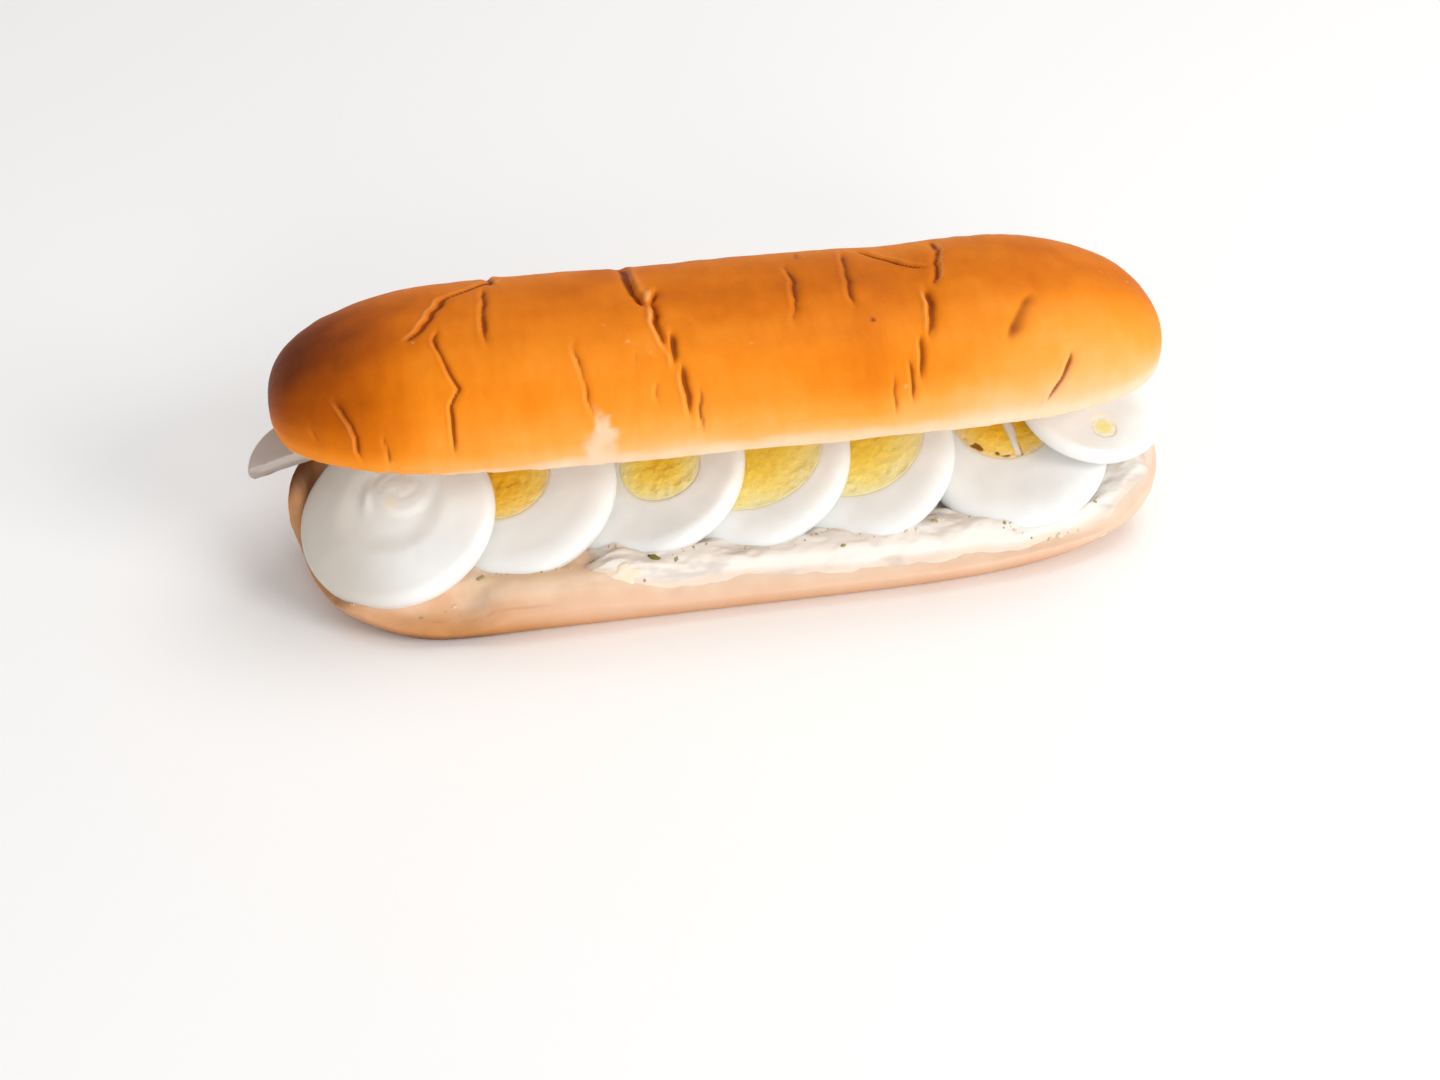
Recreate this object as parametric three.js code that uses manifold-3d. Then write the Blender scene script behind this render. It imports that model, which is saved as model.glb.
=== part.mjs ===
// Egg sandwich: a long soft roll, split along its front and hinged along its back,
// with a fanned row of boiled egg slices leaning out of it over a layer of white spread.
//
// Millimetres, +Z up. X runs along the roll and the open front faces -Y.
// The origin is the middle of the flat base that the roll rests on.
import * as THREE from "three";
import { mergeVertices } from "three/addons/utils/BufferGeometryUtils.js";
import Module from "manifold-3d";

const wasm = await Module();
wasm.setup();

const radians = THREE.MathUtils.degToRad;
const { lerp, clamp } = THREE.MathUtils;

// Gap kept between neighbouring pieces
const CLEARANCE = 0.35;

// How far a loaf's sections crowd towards its ends: 0 is evenly spaced
const END_CROWDING = 0.86;

// The lower half of the roll: an oval section with its rise above and below the widest
// line, how square it is, how far its ends are bent forward and how blunt they are.
const HEEL = {
  left: 91.2,
  right: 90,
  centreY: -3.4,
  bow: -1.7,
  skew: 1,
  centreZ: 15,
  halfWidth: 30.6,
  riseTop: 21,
  riseBottom: 20,
  squareTop: 2.4,
  squareBottom: 3.6,
  endLeft: { along: 4.9, round: 2.2 },
  endRight: { along: 3.4, round: 2.9 },
  around: 40,
  stations: 54,
};

// The upper half, set back a little from the lower one.
const CROWN = {
  left: 92,
  right: 90,
  centreY: 1,
  bow: 0.3,
  skew: 0,
  centreZ: 38.3,
  halfWidth: 28,
  riseTop: 17.4,
  riseBottom: 14,
  squareTop: 2.3,
  squareBottom: 2.4,
  endLeft: { along: 4.8, round: 2.4 },
  endRight: { along: 6, round: 2.35 },
  around: 44,
  stations: 76,
};

// The uncut back that joins the two halves.
const BACK = {
  left: 86,
  right: 85,
  centreY: 0,
  bow: -0.8,
  skew: 0.6,
  centreZ: 29,
  halfWidth: 26.4,
  riseTop: 12,
  riseBottom: 12,
  squareTop: 2.6,
  squareBottom: 2.6,
  endLeft: { along: 5, round: 2.3 },
  endRight: { along: 5, round: 2.3 },
  around: 20,
  stations: 30,
};

// The lower half's front swells out near its left end.
const SWELL = { x: -66, width: 15, rise: 2.2 };

// Soft swells and hollows along the top: place along the roll, half-width and rise.
const LOBES = [
  { x: -64, width: 10, rise: 0.6 },
  { x: -14, width: 19, rise: -0.8 },
  { x: 35, width: 7, rise: -0.8 },
  { x: 60, width: 15, rise: 1.5 },
];

// Creases over the top. Each runs through [place along the roll, degrees round the
// section], where 0 is the back, 90 the top and 180 the front.
const CREASES = [
  { line: [[-47, 30], [-49, 50], [-57, 82], [-64, 120]], width: 3.2, depth: 0.8 },
  { line: [[-57, 100], [-57, 113], [-56, 150], [-57, 178]], width: 1.9, depth: 0.7 },
  { line: [[-48, 61], [-49, 126]], width: 2, depth: 0.6 },
  { line: [[-18, 40], [-18, 102], [-16, 139], [-15, 161], [-13, 178]], width: 2.3, depth: 1.3 },
  { line: [[-12, 148], [-14, 172]], width: 1.8, depth: 0.7 },
  { line: [[-34, 128], [-30, 172]], width: 2.6, depth: 0.5 },
  { line: [[12, 80], [11, 130]], width: 2, depth: 0.5 },
  { line: [[34, 40], [35, 66], [40, 94], [38, 126], [34, 150], [31, 170]], width: 2.6, depth: 1.3 },
  { line: [[62, 155], [58, 180]], width: 2, depth: 0.6 },
];
const CREASE_FADE = 14; // degrees over which a crease dies away at each end

// The mouth, cut between the halves. Its floor and its ceiling are read from the front
// to the hinge as [y, z], and the height of the lip changes along the roll as [x, z].
const LIP_HEIGHT = [
  [-92, 5.2],
  [-60, 5.4],
  [-49, 10.6],
  [-34, 10.8],
  [-16, 8],
  [20, 7.4],
  [55, 6.4],
  [92, 6.2],
];
const LIP_ROLL = [
  [-46, -16],
  [-35, -5.4],
  [-32.8, -2],
  [-31, -0.5],
  [-28.6, 0],
];
const FLOOR = [
  [-25.4, 5.3],
  [-21, 4.2],
  [-16, 5],
  [-9, 7.2],
  [-2, 10.4],
  [5, 14.2],
  [11, 18],
  [15, 22],
  [18, 26.4],
];
const HINGE = [21.5, 29.6];

// Towards each end of the roll the floor has not been pressed in by the filling, and it
// climbs to the slope of the knife cut. The left end only does so behind the row.
const END_FLOOR = {
  left: { from: -84.8, to: -88.4, lip: 9, slope: 0.4, behind: [-5, 1] },
  right: { from: 60, to: 84, lip: 8, slope: 0.36, behind: [-26, -24] },
};
const CEILING = [
  [17, 32.6],
  [5, 33.6],
  [-10, 34.8],
  [-22, 35.7],
  [-27, 35.4],
  [-46, 33.5],
];

// The row of egg slices slopes up towards the back, and each slice leans on its
// right-hand neighbour. Centres are those of the slices' upper faces.
const ROW = { incline: 25, fan: 14 };
const SLICE = { thickness: 4.6, edge: 1.3, segments: 34 };
const YOLK_SLICES = [
  { name: "2", centre: [-45.8, -8.4, 20.2], radius: 20.7, yolk: 9.9, off: [-2.3, 2.6], ...ROW },
  { name: "3", centre: [-19.9, -5.9, 21.4], radius: 21.8, yolk: 8.3, off: [4.1, -2.1], ...ROW },
  { name: "4", centre: [1.9, -6.8, 21], radius: 21.6, yolk: 15.5, off: [0.9, 2.1], ...ROW },
  { name: "5", centre: [24.4, -8.5, 20.2], radius: 20.9, yolk: 15, off: [0.4, 4.2], ...ROW },
  {
    name: "6",
    centre: [58.2, -9.6, 19.4],
    radius: 20.2,
    yolk: 10.8,
    off: [-0.5, 6.7],
    incline: 22,
    fan: 5.5,
  },
];

// The split across one yolk, leaning a few degrees.
const BREAK = { slice: "6", at: -0.2, width: 1, lean: 6 };

// The rounded end of an egg, lying at the left end of the row.
const END_CAP = {
  centre: [-69.8, -12.1, 18.5],
  radius: 20,
  rise: 3.4,
  thickness: 4.2,
  dimple: { radius: 8.9, depth: 0.7, off: [-1.3, 0.2] },
  ...ROW,
};

// A slice from near the end of an egg at the right, with only a spot of yolk in it.
const RIGHT_SLICE = {
  name: "7",
  centre: [75.7, -6.6, 26.9],
  radius: 16,
  thickness: 3.6,
  yolk: 2.4,
  off: [0.2, -8.8],
  incline: 18,
  fan: -5,
};

// A broken piece of white that shows behind the row at the left end.
const LEFT_PIECE = { centre: [-86, -4.2, 27.6], radius: 11.8, thickness: 3.4, incline: 20, fan: 6 };

// The layer of spread on the floor of the mouth, lifted a little more along its front
// edge. Its outline is read along the roll as [x, front y, back y].
const SPREAD = { thickness: 1, gap: 0.6, lift: 0.4, liftSteps: 3, steps: 8 };
const SPREAD_OUTLINE = [
  [-34, -27.4, -24.4],
  [-29, -28.8, -19],
  [-22, -30.8, -15.8],
  [-14, -29.9, -15],
  [-4, -28.8, -15.6],
  [8, -29.8, -14.8],
  [20, -30.3, -15.6],
  [32, -29.6, -15],
  [44, -29.8, -14.4],
  [56, -28.6, -12.6],
  [66, -26.4, -9],
  [74, -23.4, -4],
  [80, -19.6, 0],
  [84, -14.6, -2],
  [86, -11.4, -7.6],
];

const MATERIALS = {
  crust: new THREE.MeshStandardMaterial({ color: 0xdf8f35, roughness: 0.4, metalness: 0 }),
  white: new THREE.MeshStandardMaterial({ color: 0xf1efea, roughness: 0.3, metalness: 0 }),
  yolk: new THREE.MeshStandardMaterial({ color: 0xefc23d, roughness: 0.7, metalness: 0 }),
  spread: new THREE.MeshStandardMaterial({ color: 0xf0e6d6, roughness: 0.5, metalness: 0 }),
};

/** Value at a place on a list of [place, value] pairs, eased between them. */
function along(pairs, place) {
  if (place <= pairs[0][0]) return pairs[0][1];
  for (let i = 1; i < pairs.length; i++) {
    if (place <= pairs[i][0]) {
      const share = (place - pairs[i - 1][0]) / (pairs[i][0] - pairs[i - 1][0]);
      return lerp(pairs[i - 1][1], pairs[i][1], share * share * (3 - 2 * share));
    }
  }
  return pairs[pairs.length - 1][1];
}

/** Geometry from vertices and triangles, without normals. */
function meshFrom(vertices, triangles) {
  const geometry = new THREE.BufferGeometry();
  geometry.setAttribute("position", new THREE.Float32BufferAttribute(vertices.flat(), 3));
  geometry.setIndex(triangles.flat());
  return geometry;
}

/** Solid of a closed geometry, for joining and cutting. */
function solidOf(geometry) {
  return new wasm.Manifold(
    new wasm.Mesh({
      numProp: 3,
      vertProperties: new Float32Array(geometry.attributes.position.array),
      triVerts: new Uint32Array(geometry.index.array),
    }),
  );
}

/** Geometry of a solid. */
function geometryOf(solid) {
  const mesh = solid.getMesh();
  const geometry = new THREE.BufferGeometry();
  geometry.setAttribute("position", new THREE.BufferAttribute(mesh.vertProperties, 3));
  geometry.setIndex(new THREE.BufferAttribute(mesh.triVerts, 1));
  return geometry;
}

/**
 * Closed skin over a row of rings that all have the same number of points, with each
 * end shut by triangles of its first or last ring.
 */
function skin(rings) {
  const count = rings[0].length;
  const triangles = [];
  for (let i = 0; i + 1 < rings.length; i++) {
    for (let j = 0; j < count; j++) {
      const a = i * count + j;
      const b = i * count + ((j + 1) % count);
      triangles.push([a, b, b + count], [a, b + count, a + count]);
    }
  }
  const flat = (ring) => ring.map(([, y, z]) => new THREE.Vector2(y, z));
  const last = (rings.length - 1) * count;
  for (const [a, b, c] of THREE.ShapeUtils.triangulateShape(flat(rings[0]), [])) {
    triangles.push([c, b, a]);
  }
  for (const [a, b, c] of THREE.ShapeUtils.triangulateShape(flat(rings[rings.length - 1]), [])) {
    triangles.push([last + a, last + b, last + c]);
  }
  return meshFrom(rings.flat(), triangles);
}

/** Share of the full section left at a station from -1, the left end, to 1. */
function endTaper(half, s) {
  const end = s < 0 ? half.endLeft : half.endRight;
  return Math.pow(Math.max(0, 1 - Math.pow(Math.abs(s), end.along)), 1 / end.round);
}

/** Reach of a half's oval section at an angle. */
function sectionReach(half, angle) {
  const up = Math.sin(angle) >= 0;
  const square = up ? half.squareTop : half.squareBottom;
  const across = Math.abs(Math.cos(angle)) / half.halfWidth;
  const height = Math.abs(Math.sin(angle)) / (up ? half.riseTop : half.riseBottom);
  return Math.pow(Math.pow(across, square) + Math.pow(height, square), -1 / square);
}

/** Place along the roll of a crease at an angle, or null beyond its ends. */
function creaseAt(line, degrees) {
  const from = line[0][1];
  const to = line[line.length - 1][1];
  if (degrees < from || degrees > to) return null;
  for (let i = 1; i < line.length; i++) {
    if (degrees <= line[i][1]) {
      const share = (degrees - line[i - 1][1]) / (line[i][1] - line[i - 1][1]);
      return lerp(line[i - 1][0], line[i][0], share);
    }
  }
  return null;
}

/** Height of the lower half's relief at a place: one swell of its front. */
function heelRelief(x, angle) {
  return SWELL.rise * Math.exp(-(((x - SWELL.x) / SWELL.width) ** 2)) * Math.max(0, -Math.cos(angle));
}

/** Height of the crown's relief at a place: swells up, creases down. */
function crownRelief(x, angle) {
  const degrees = THREE.MathUtils.radToDeg(angle);
  let relief = 0;
  for (const lobe of LOBES) {
    relief += lobe.rise * Math.exp(-(((x - lobe.x) / lobe.width) ** 2)) * Math.max(0, Math.sin(angle));
  }
  for (const crease of CREASES) {
    const middle = creaseAt(crease.line, degrees);
    if (middle === null) continue;
    const last = crease.line.length - 1;
    const inside = Math.min(degrees - crease.line[0][1], crease.line[last][1] - degrees);
    const fade = clamp(inside / CREASE_FADE, 0, 1);
    relief -= crease.depth * fade * Math.exp(-(((x - middle) / crease.width) ** 2));
  }
  return relief;
}

/** Whole oval half before it is cut, as a skin over sections between two pointed ends. */
function loaf(half, relief = () => 0) {
  const vertices = [];
  const triangles = [];
  const pole = (x) => [x, half.centreY + half.bow + half.skew * Math.sign(x), half.centreZ];
  vertices.push(pole(-half.left));
  for (let i = 1; i < half.stations; i++) {
    const share = i / half.stations;
    const s = lerp(2 * share - 1, -Math.cos(share * Math.PI), END_CROWDING);
    const x = s < 0 ? s * half.left : s * half.right;
    for (let j = 0; j < half.around; j++) {
      const angle = ((j + 0.5) / half.around) * 2 * Math.PI;
      const turned = angle > Math.PI * 1.5 ? angle - 2 * Math.PI : angle;
      const taper = endTaper(half, s);
      const reach = (sectionReach(half, angle) + relief(x, turned)) * taper;
      vertices.push([
        x,
        half.centreY + half.bow * s * s + half.skew * s + reach * Math.cos(angle),
        half.centreZ + reach * Math.sin(angle),
      ]);
    }
  }
  vertices.push(pole(half.right));
  const end = vertices.length - 1;
  const at = (i, j) => 1 + (i - 1) * half.around + (j % half.around);
  for (let j = 0; j < half.around; j++) {
    triangles.push([0, at(1, j + 1), at(1, j)]);
    triangles.push([end, at(half.stations - 1, j), at(half.stations - 1, j + 1)]);
    for (let i = 1; i + 1 < half.stations; i++) {
      triangles.push([at(i, j), at(i, j + 1), at(i + 1, j + 1)]);
      triangles.push([at(i, j), at(i + 1, j + 1), at(i + 1, j)]);
    }
  }
  return solidOf(meshFrom(vertices, triangles));
}

/** Everything above the table. */
function aboveTable() {
  const size = 400;
  const box = new THREE.BoxGeometry(size, size, size).translate(0, 0, size / 2);
  box.deleteAttribute("normal");
  box.deleteAttribute("uv");
  return solidOf(mergeVertices(box));
}

/** Height of the floor where it keeps the slope of the knife cut, or below it. */
function endRise(x, y, pressed) {
  let height = pressed;
  for (const end of [END_FLOOR.left, END_FLOOR.right]) {
    const share =
      THREE.MathUtils.smoothstep((x - end.from) / (end.to - end.from), 0, 1) *
      THREE.MathUtils.smoothstep(y, ...end.behind);
    height = Math.max(height, lerp(pressed, end.lip + end.slope * (y + 30), share));
  }
  return height;
}

/** Height of the mouth's floor at a place. */
function floorHeight(x, y) {
  const lip = along(LIP_HEIGHT, x);
  const rows = [
    ...LIP_ROLL.map(([at, drop]) => [at, lip + drop]),
    ...FLOOR.map(([at, height]) => [at, endRise(x, at, height)]),
  ];
  if (y <= rows[0][0]) return rows[0][1];
  for (let i = 1; i < rows.length; i++) {
    if (y <= rows[i][0]) {
      return lerp(rows[i - 1][1], rows[i][1], (y - rows[i - 1][0]) / (rows[i][0] - rows[i - 1][0]));
    }
  }
  return rows[rows.length - 1][1];
}

/** The opening between the halves, as a solid to cut away. */
function mouth() {
  const rings = [];
  const { left } = END_FLOOR;
  const places = [-110, left.to, (left.from + left.to) / 2, left.from, -54, -41, -25, 90, 110];
  for (const [x] of [...LIP_HEIGHT, ...SPREAD_OUTLINE]) places.push(x);
  for (const x of [...new Set(places)].sort((a, b) => a - b)) {
    const ring = [];
    for (const [y] of [...LIP_ROLL, ...FLOOR]) ring.push([x, y, floorHeight(x, y)]);
    ring.push([x, ...HINGE]);
    for (const [y, z] of CEILING) ring.push([x, y, z]);
    rings.push(ring);
  }
  return solidOf(skin(rings));
}

/** Matrix that lays a flat piece in the row, with its upper face up and forward. */
function layIn({ centre, incline, fan }) {
  const matrix = new THREE.Matrix4().makeTranslation(...centre);
  matrix.multiply(new THREE.Matrix4().makeRotationX(radians(incline)));
  matrix.multiply(new THREE.Matrix4().makeRotationY(-radians(fan)));
  return matrix;
}

/** Points down a slice's rounded outer edge, as [inset, depth]. */
function edgeProfile(thickness) {
  const { edge } = SLICE;
  return [
    [edge, 0],
    [edge * 0.3, edge * 0.3],
    [0, edge],
    [edge * 0.15, thickness - edge * 0.8],
    [edge * 0.5, thickness - edge * 0.2],
    [edge * 1.3, thickness],
  ];
}

/** Ring of white round an off-centre hole, upper face at z 0. */
function whiteRing({ radius, yolk, off, thickness = SLICE.thickness }) {
  const vertices = [];
  const triangles = [];
  const { segments } = SLICE;
  const outer = edgeProfile(thickness);
  const count = outer.length + 2;
  for (let i = 0; i < segments; i++) {
    const angle = (i / segments) * 2 * Math.PI;
    const [c, s] = [Math.cos(angle), Math.sin(angle)];
    vertices.push([off[0] + yolk * c, off[1] + yolk * s, 0]);
    for (const [inset, depth] of outer) {
      vertices.push([(radius - inset) * c, (radius - inset) * s, -depth]);
    }
    vertices.push([off[0] + yolk * c, off[1] + yolk * s, -thickness]);
  }
  for (let i = 0; i < segments; i++) {
    for (let j = 0; j < count; j++) {
      const a = i * count + j;
      const b = i * count + ((j + 1) % count);
      const c = ((i + 1) % segments) * count + ((j + 1) % count);
      const d = ((i + 1) % segments) * count + j;
      triangles.push([a, c, d], [a, b, c]);
    }
  }
  return meshFrom(vertices, triangles);
}

/**
 * Round piece turned from rows of [radius, z, share], from the upper middle to the lower
 * one. A row's centre goes from the offset back to the middle as its share goes to 1.
 */
function turned(rows, segments, off = [0, 0]) {
  const vertices = [];
  const triangles = [];
  const inner = rows.slice(1, -1);
  const point = ([radius, z, share = 0], angle) => [
    off[0] * (1 - share) + radius * Math.cos(angle),
    off[1] * (1 - share) + radius * Math.sin(angle),
    z,
  ];
  vertices.push(point(rows[0], 0));
  for (const row of inner) {
    for (let i = 0; i < segments; i++) vertices.push(point(row, (i / segments) * 2 * Math.PI));
  }
  const last = vertices.length;
  vertices.push(point(rows[rows.length - 1], 0));
  for (let i = 0; i < segments; i++) {
    const next = (i + 1) % segments;
    triangles.push([0, 1 + i, 1 + next]);
    for (let k = 0; k + 1 < inner.length; k++) {
      const a = 1 + k * segments;
      const b = a + segments;
      triangles.push([a + i, b + i, b + next], [a + i, b + next, a + next]);
    }
    const rim = 1 + (inner.length - 1) * segments;
    triangles.push([last, rim + next, rim + i]);
  }
  return meshFrom(vertices, triangles);
}

/** Yolk that fills the hole of a white ring, a little crumbly at its rim. */
function yolkDisc({ yolk, off, thickness = SLICE.thickness }) {
  const radius = yolk - CLEARANCE;
  const segments = yolk < 5 ? 16 : 28;
  const rows = [
    [0, 0.15],
    [radius * 0.62, 0.1],
    [radius - 0.5, -0.15],
    [radius, -0.7],
    [radius, 0.5 - thickness],
    [radius - 0.5, -thickness],
    [0, -thickness],
  ];
  return turned(rows, segments, off);
}

/** The two halves of a yolk on either side of a leaning split. */
function splitYolk(slice) {
  const whole = solidOf(yolkDisc(slice));
  const lean = radians(BREAK.lean);
  const normal = [Math.cos(lean), Math.sin(lean), 0];
  const leftSide = whole.trimByPlane(normal.map((v) => -v), -(BREAK.at - BREAK.width / 2));
  const rightSide = whole.trimByPlane(normal, BREAK.at + BREAK.width / 2);
  return [geometryOf(leftSide), geometryOf(rightSide)];
}

/** Rounded egg end with a shallow round hollow where the air cell was. */
function endCap({ radius, rise, thickness, dimple }) {
  const domeAt = (r) => rise * (1 - (r / radius) ** 2);
  const rows = [
    [0, domeAt(0) - dimple.depth, 0],
    [dimple.radius * 0.8, domeAt(dimple.radius * 0.8) - dimple.depth, 0.1],
    [dimple.radius, domeAt(dimple.radius), 0.1],
    [dimple.radius * 1.35, domeAt(dimple.radius * 1.35), 0.6],
    [radius * 0.84, domeAt(radius * 0.84), 1],
    [radius * 0.95, domeAt(radius * 0.95) - 0.1, 1],
    [radius, -0.9, 1],
    [radius - 0.2, 1.2 - thickness, 1],
    [radius - 1.2, -thickness, 1],
    [0, -thickness, 1],
  ];
  return turned(rows, SLICE.segments, dimple.off);
}

/** Slice of white broken straight across, its rounded side to the back. */
function brokenPiece({ radius, thickness }) {
  const side = edgeProfile(thickness).map(([inset, depth]) => [radius - inset, -depth]);
  const whole = turned([[0, 0], ...side, [0, -thickness]], SLICE.segments);
  return geometryOf(solidOf(whole).trimByPlane([0, 1, 0], 0));
}

/** Layer of spread that follows the floor just inside the lip. */
function spreadLayer() {
  const { thickness, steps } = SPREAD;
  const last = SPREAD_OUTLINE.length - 1;
  const rings = SPREAD_OUTLINE.map(([x, front, back], index) => {
    const full = index === 0 || index === last ? thickness * 0.5 : thickness;
    const upper = [];
    const lower = [];
    for (let k = 0; k <= steps; k++) {
      const y = lerp(front, back, k / steps);
      const lift = SPREAD.lift * clamp(1 - k / SPREAD.liftSteps, 0, 1);
      const base = floorHeight(x, y) + SPREAD.gap + lift;
      const swell = full * (0.5 + 0.5 * Math.sin(Math.PI * clamp(k / steps, 0.06, 0.94)));
      upper.unshift([x, y, base + swell]);
      lower.push([x, y, base]);
    }
    return [...lower, ...upper];
  });
  return skin(rings);
}

/** Adds a named mesh with its material. */
function add(group, name, geometry, material) {
  geometry.computeVertexNormals();
  const mesh = new THREE.Mesh(geometry, material);
  mesh.name = name;
  group.add(mesh);
}

/** The roll: two halves and the back between them, less the mouth, on a flat base. */
function roll() {
  const whole = loaf(HEEL, heelRelief).add(loaf(CROWN, crownRelief)).add(loaf(BACK));
  return geometryOf(whole.subtract(mouth()).intersect(aboveTable()));
}

function build() {
  const group = new THREE.Group();
  group.name = "egg_sandwich";
  add(group, "bun", roll(), MATERIALS.crust);
  add(group, "egg_white_1", endCap(END_CAP).applyMatrix4(layIn(END_CAP)), MATERIALS.white);
  for (const slice of [...YOLK_SLICES, RIGHT_SLICE]) {
    const place = layIn(slice);
    add(group, `egg_white_${slice.name}`, whiteRing(slice).applyMatrix4(place), MATERIALS.white);
    if (slice.name === BREAK.slice) {
      const [left, right] = splitYolk(slice);
      add(group, `egg_yolk_${slice.name}a`, left.applyMatrix4(place), MATERIALS.yolk);
      add(group, `egg_yolk_${slice.name}b`, right.applyMatrix4(place), MATERIALS.yolk);
    } else {
      add(group, `egg_yolk_${slice.name}`, yolkDisc(slice).applyMatrix4(place), MATERIALS.yolk);
    }
  }
  add(group, "egg_white_8", brokenPiece(LEFT_PIECE).applyMatrix4(layIn(LEFT_PIECE)), MATERIALS.white);
  add(group, "spread", spreadLayer(), MATERIALS.spread);
  return group;
}

export default build();
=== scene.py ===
"""Egg sandwich: a long soft roll, split along its front and filled with a fanned row of
boiled egg slices over white spread.

Shapes are worked out in millimetres in the model's own frame: +X along the roll to the
right, -Y out of the open front, +Z up. They become metres when a piece is finished.
"""

from __future__ import annotations

import logging
import math
import random
from dataclasses import dataclass, field
from enum import Enum
from typing import Callable, Sequence

import bmesh
import bpy
import numpy as np
from mathutils import Color, Matrix, Vector


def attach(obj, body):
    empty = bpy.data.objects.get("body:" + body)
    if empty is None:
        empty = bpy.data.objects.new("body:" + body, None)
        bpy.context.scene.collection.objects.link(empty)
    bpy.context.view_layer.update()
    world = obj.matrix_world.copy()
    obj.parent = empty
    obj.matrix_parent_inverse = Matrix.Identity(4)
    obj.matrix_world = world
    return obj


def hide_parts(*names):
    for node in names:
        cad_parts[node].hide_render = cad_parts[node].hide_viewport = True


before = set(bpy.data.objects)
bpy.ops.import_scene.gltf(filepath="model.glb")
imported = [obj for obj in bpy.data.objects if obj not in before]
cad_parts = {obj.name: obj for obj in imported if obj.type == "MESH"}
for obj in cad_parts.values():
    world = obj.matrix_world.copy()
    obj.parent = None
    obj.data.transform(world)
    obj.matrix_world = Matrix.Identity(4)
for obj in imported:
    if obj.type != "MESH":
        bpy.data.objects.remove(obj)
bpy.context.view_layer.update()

MM = 0.001
BODY = "root"
FULL_TURN = 2 * math.pi
EVEN_STEPS = 4000
FINER_SHARE = 0.55
CELL_PRIMES = (73856093, 19349663, 83492791)
SEED_PRIME = 668265263
MIX_PRIME = 1274126177
MIX_BITS = 0xFFFFFF

log = logging.getLogger("egg_sandwich")

Point = tuple[float, float, float]
Pairs = Sequence[tuple[float, float]]


class Slot(Enum):
    """Material slots of the record."""

    CRUST = "crust"
    WHITE = "egg_white"
    YOLK = "egg_yolk"
    SPREAD = "spread"


class Join(Enum):
    """Ways of joining two solids."""

    ADD = "UNION"
    CUT = "DIFFERENCE"


def step(low: float, high: float, value: np.ndarray) -> np.ndarray:
    """Smooth rise from 0 at low to 1 at high.

    Args:
        low: Value at which the rise starts.
        high: Value at which the rise ends; it may be below low.
        value: Values to map.

    Returns:
        The share from 0 to 1.
    """
    share = np.clip((value - low) / (high - low), 0, 1)
    return share * share * (3 - 2 * share)


def along(pairs: Pairs, place: np.ndarray) -> np.ndarray:
    """Value at a place on a list of pairs, eased between them.

    Args:
        pairs: Places in rising order with their values.
        place: Where to read.

    Returns:
        The eased values.
    """
    places = np.array([pair[0] for pair in pairs], float)
    values = np.array([pair[1] for pair in pairs], float)
    after = np.clip(np.searchsorted(places, place), 1, len(places) - 1)
    share = np.clip((place - places[after - 1]) / (places[after] - places[after - 1]), 0, 1)
    share = share * share * (3 - 2 * share)
    return values[after - 1] + (values[after] - values[after - 1]) * share


def bell(distance: np.ndarray, width: float) -> np.ndarray:
    """Bell curve of height 1."""
    return np.exp(-((distance / width) ** 2))


def lattice(cell: np.ndarray, seed: int) -> np.ndarray:
    """Random values from 0 to 1 at whole-number places.

    Args:
        cell: Whole-number places, three to a row.
        seed: Number that sets the pattern.

    Returns:
        One value for each place.
    """
    mixed = cell[..., 0] * CELL_PRIMES[0]
    mixed = mixed ^ (cell[..., 1] * CELL_PRIMES[1]) ^ (cell[..., 2] * CELL_PRIMES[2])
    mixed = mixed ^ (seed * SEED_PRIME)
    mixed = (mixed ^ (mixed >> 13)) * MIX_PRIME
    return ((mixed ^ (mixed >> 16)) & MIX_BITS) / MIX_BITS


def grain(points: np.ndarray, size: float, seed: int, layers: int = 1) -> np.ndarray:
    """Smooth random relief.

    Args:
        points: Places, three to a row, in millimetres.
        size: Size of its largest lumps in millimetres.
        seed: Number that sets the pattern.
        layers: How many times finer, weaker relief is added.

    Returns:
        Values from about -1 to 1.
    """
    total = np.zeros(points.shape[:-1])
    for layer in range(layers):
        place = points * (2**layer / size)
        cell = np.floor(place).astype(np.int64)
        share = place - cell
        share = share * share * (3 - 2 * share)
        for corner in range(8):
            offset = np.array([corner & 1, corner >> 1 & 1, corner >> 2 & 1])
            weight = np.prod(np.where(offset, share, 1 - share), axis=-1)
            total += weight * (lattice(cell + offset, seed + layer) * 2 - 1) * FINER_SHARE**layer
    return total


@dataclass(frozen=True)
class Grain:
    """One kind of random relief: its height, the size of its lumps, its pattern and layers."""

    height: float
    size: float
    seed: int
    layers: int = 1

    def at(self, points: np.ndarray, shift: int = 0) -> np.ndarray:
        """The relief at places.

        Args:
            points: Places, three to a row, in millimetres.
            shift: What is added to the pattern's number.

        Returns:
            The relief in millimetres.
        """
        return self.height * grain(points, self.size, self.seed + shift, self.layers)


@dataclass(frozen=True)
class Rise:
    """A smooth rise from 0 to 1 between two values, of which either may be the larger."""

    low: float
    high: float

    def at(self, value: np.ndarray) -> np.ndarray:
        """The share from 0 to 1 at a value."""
        return step(self.low, self.high, value)


def mesh_points(mesh: bpy.types.Mesh) -> np.ndarray:
    """A mesh's vertices, in the numbers that it holds.

    Args:
        mesh: The mesh.

    Returns:
        One row of three for each vertex.
    """
    points = np.empty(len(mesh.vertices) * 3, np.float32)
    mesh.vertices.foreach_get("co", points)
    return points.reshape(-1, 3).astype(float)


def move_points(mesh: bpy.types.Mesh, points: np.ndarray) -> None:
    """Moves a mesh's vertices to new places."""
    mesh.vertices.foreach_set("co", points.astype(np.float32).ravel())
    mesh.update()


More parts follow.
